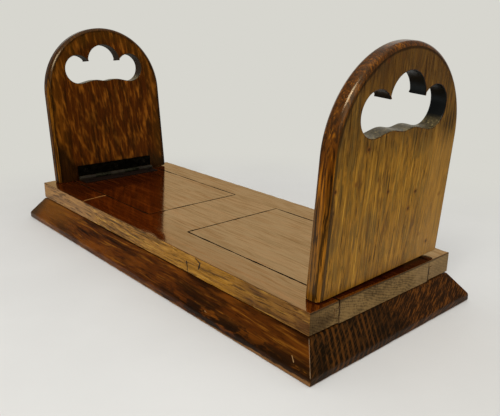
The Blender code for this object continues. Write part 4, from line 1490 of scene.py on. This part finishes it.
# %% Sizes of a hinge
LEAF_WIDTH = 0.0122
LEAF_THICKNESS = 0.0012
BARREL_RADIUS = 0.0022
PIN_RADIUS = 0.0011
PIN_FIT = 0.00012
KNUCKLE_GAP = 0.0003
KNUCKLES = 5
HINGE_LENGTH = 0.082
SCREW_SPREAD = HINGE_LENGTH * 0.4
SCREW_HEAD, SCREW_SHANK = 0.0023, 0.0011
SCREW_SINK = 0.0001
pitch = HINGE_LENGTH / KNUCKLES
screw_up = (LEAF_WIDTH + BARREL_RADIUS + KNUCKLE_GAP) / 2
screw_spots = (-SCREW_SPREAD, 0, SCREW_SPREAD)
leaf_face = BARREL_RADIUS - LEAF_THICKNESS
print("knuckles are", round((pitch - KNUCKLE_GAP) * 1000, 1), "mm long")

# %% A leaf lying flat
LEAF_ARRIS = 0.00025
BRIDGE_LAP = 0.001
SEAT_DEPTH = 0.004
SINK_LAP = 0.00002


def make_leaf(name, first):
    """A leaf in the pin's frame: the strip along +X, its wood side at the bottom."""
    start = BARREL_RADIUS + KNUCKLE_GAP
    near_end, far_end = -HINGE_LENGTH / 2, HINGE_LENGTH / 2
    leaf = add_block(name, (start, near_end, -BARREL_RADIUS), (LEAF_WIDTH, far_end, -leaf_face))

    def on_face(edge):
        """True for the far edges of the face that shows."""
        spot = middle_of(edge)
        return spot.z > -leaf_face - HAIR and spot.x > start + HAIR

    bpy.ops.object.mode_set(mode="EDIT")
    soften(on_face, LEAF_ARRIS, 2)
    bpy.ops.object.mode_set(mode="OBJECT")
    for number in range(first, KNUCKLES, 2):
        low = near_end + pitch * number + (KNUCKLE_GAP / 2 if number else 0)
        high = near_end + pitch * (number + 1) - (KNUCKLE_GAP / 2 if number < KNUCKLES - 1 else 0)
        weld_on(leaf, add_block("bridge", (0, low, -BARREL_RADIUS), (start + BRIDGE_LAP, high, -leaf_face)))
        knuckle = add_rod("knuckle", BARREL_RADIUS, high - low, (0, (low + high) / 2, 0), "Y", 40)
        bpy.ops.object.mode_set(mode="EDIT")
        soften(lambda edge: is_sharp(edge, 60), LEAF_ARRIS, 2)
        bpy.ops.object.mode_set(mode="OBJECT")
        weld_on(leaf, knuckle)
    carve(leaf, add_rod("bore", PIN_RADIUS + PIN_FIT, HINGE_LENGTH * 1.1, (0, 0, 0), "Y", 32))
    mouth, throat = SCREW_HEAD + SCREW_FIT, SCREW_SHANK + SCREW_FIT
    taper = SCREW_HEAD - SCREW_SHANK
    seat_z = -leaf_face - SCREW_SINK
    for spot in screw_spots:
        carve(leaf, add_rod("seat", mouth, SEAT_DEPTH, (screw_up, spot, seat_z + SEAT_DEPTH / 2), "Z", 40))
        middle = (screw_up, spot, seat_z - taper / 2 + SINK_LAP)
        carve(leaf, add_cone("sink", throat, mouth, taper, middle, 40))
    return leaf


tongue_leaf, end_leaf = make_leaf("tongue_leaf", 0), make_leaf("end_leaf", 1)
print("leaf faces:", len(tongue_leaf.data.polygons), len(end_leaf.data.polygons))

# %% [markdown]
# ## Screws
#
# A slotted screw is a rod with a wide flat head that tapers to the shank. Only the head shows.
# A rod as thick as the head is extruded down and drawn in, and the slot is cut with a thin block.
# The slots all point different ways, as a hand leaves them.

# %% One screw, pointing down
SCREW_LENGTH = 0.008
PLINTH_HEAD, PLINTH_SHANK, PLINTH_SCREW_LENGTH = 0.0038, 0.0018, 0.0315
RIM_SHARE, SLOT_SHARE, SLOT_DEPTH_SHARE = 0.06, 0.14, 0.3
TAPER_SHARE, TIP_SHARE = 0.6, 0.1


def make_screw(name, head, shank, length):
    """A countersunk slotted screw with the top of its head at the origin."""
    rim = head * RIM_SHARE
    screw = add_rod(name, head, rim, (0, 0, -rim / 2), "Z", 40)
    bpy.ops.object.mode_set(mode="EDIT")
    pick("FACE", lambda face: face.normal.z < -0.9)
    for fall, share in ((head - shank, shank / head), (length - head - rim, TAPER_SHARE), (shank, TIP_SHARE)):
        draw_out((0, 0, -fall), (share, share, 1))
    soften(lambda edge: middle_of(edge).z > -rim / 10, rim, 2)
    bpy.ops.object.mode_set(mode="OBJECT")
    reach, half = head * 1.2, head * SLOT_SHARE
    carve(screw, add_block("slot", (-reach, -half, -head * SLOT_DEPTH_SHARE), (reach, half, head)))
    screw.data.materials.append(screw_steel)
    return screw


hinge_screw = make_screw("hinge_screw", SCREW_HEAD, SCREW_SHANK, SCREW_LENGTH)
plinth_screw = make_screw("plinth_screw", PLINTH_HEAD, PLINTH_SHANK, PLINTH_SCREW_LENGTH)
print("screw faces:", len(hinge_screw.data.polygons))

# %% Both hinges
LIE_ON_TONGUE = Matrix.Rotation(math.radians(180), 4, "Z")
STAND_ON_END = Matrix.Rotation(math.radians(-90), 4, "Y")


def slot_turn(degrees):
    """A screw's own turn, because no two slots point the same way."""
    return Matrix.Rotation(math.radians(degrees), 4, "Z")


def make_hinge(side):
    """Two leaves and six screws, each riding on its own body."""
    flat, upright = hinge_place(side) @ LIE_ON_TONGUE, leaning(side) @ STAND_ON_END
    leaves = (
        (tongue_leaf, side + "_base_leaf", flat, side + "_runner"),
        (end_leaf, side + "_end_leaf", upright, side + "_upright"),
    )
    for number, (original, node, stand, body) in enumerate(leaves):
        leaf = place_copy(original, node + "_metal", stand)
        leaf.data.materials.append(hinge_bronze if number else leaf_brown)
        hand_over(leaf, body, [node])
        for index, spot in enumerate(screw_spots, 1):
            seat = Matrix.Translation((screw_up, spot, -leaf_face - SCREW_SINK))
            seat = seat @ slot_turn(37 * index + 50 * number)
            screw_node = node + "_screw_" + str(index)
            screw = place_copy(hinge_screw, screw_node + "_metal", stand @ seat)
            hand_over(screw, body, [screw_node])


for side in SIDES:
    make_hinge(side)
throw_away(tongue_leaf, end_leaf, hinge_screw)

# %% Pins
for side in SIDES:
    low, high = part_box(side + "_hinge_pin")
    middle = (low + high) / 2
    pin = add_rod(side + "_pin_metal", PIN_RADIUS, high.y - low.y, middle, "Y", 32)
    bpy.ops.object.mode_set(mode="EDIT")
    soften(lambda edge: is_sharp(edge, 60), PIN_RADIUS * 0.3, 3)
    bpy.ops.object.mode_set(mode="OBJECT")
    pin.data.materials.append(pin_steel)
    hand_over(pin, side + "_runner", [side + "_hinge_pin"])

# %% Screws under the plinth
HEAD_DOWN = Matrix.Rotation(math.radians(180), 4, "X")
for number, node in enumerate(sorted(PLINTH_SCREWS), 1):
    low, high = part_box(node)
    middle = (low + high) / 2
    stand = Matrix.Translation((middle.x, middle.y, low.z)) @ HEAD_DOWN @ slot_turn(37 * number)
    hand_over(place_copy(plinth_screw, node + "_metal", stand), "base", [node])
throw_away(plinth_screw)

# %% [markdown]
# ## Stop pegs
#
# The pegs are small beech dowels, and they only show from inside the slot. Their measured shape
# is already right, so they keep it and get a finish of pale wood.

# %% Beech for the pegs
def beech():
    """Pale beech with short fine flecks."""
    material, tree, shader, place = new_finish("peg_beech_wood")
    tones = (tone(150, 112, 72), tone(182, 144, 98), tone(204, 170, 124))
    _, colour, height = oak_figure(tree, place, (0, math.radians(90), 0), (0, 0, 0), tones, 0.4, 0.5)
    polish(tree, shader, colour, height, 0.5, 0.2)
    return material


peg_beech = beech()
for side in SIDES:
    peg = frame["nodes"][side + "_stop_peg"]
    peg.data.materials.clear()
    peg.data.materials.append(peg_beech)
print("pegs have", peg_beech.name)

# %% [markdown]
# ## The size before and after
#
# Dressing a model must not change its size. The box round the measured model and the box round
# the dressed one are printed, so that they can be compared.

# %% Sizes before and after
dressed_low, dressed_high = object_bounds()
sizes = {
    "measured": [list(measured_low), list(measured_high)],
    "dressed": [list(dressed_low), list(dressed_high)],
}
for name, (low, high) in sizes.items():
    print(name, [round((b - a) * 1000, 2) for a, b in zip(low, high)], "mm")
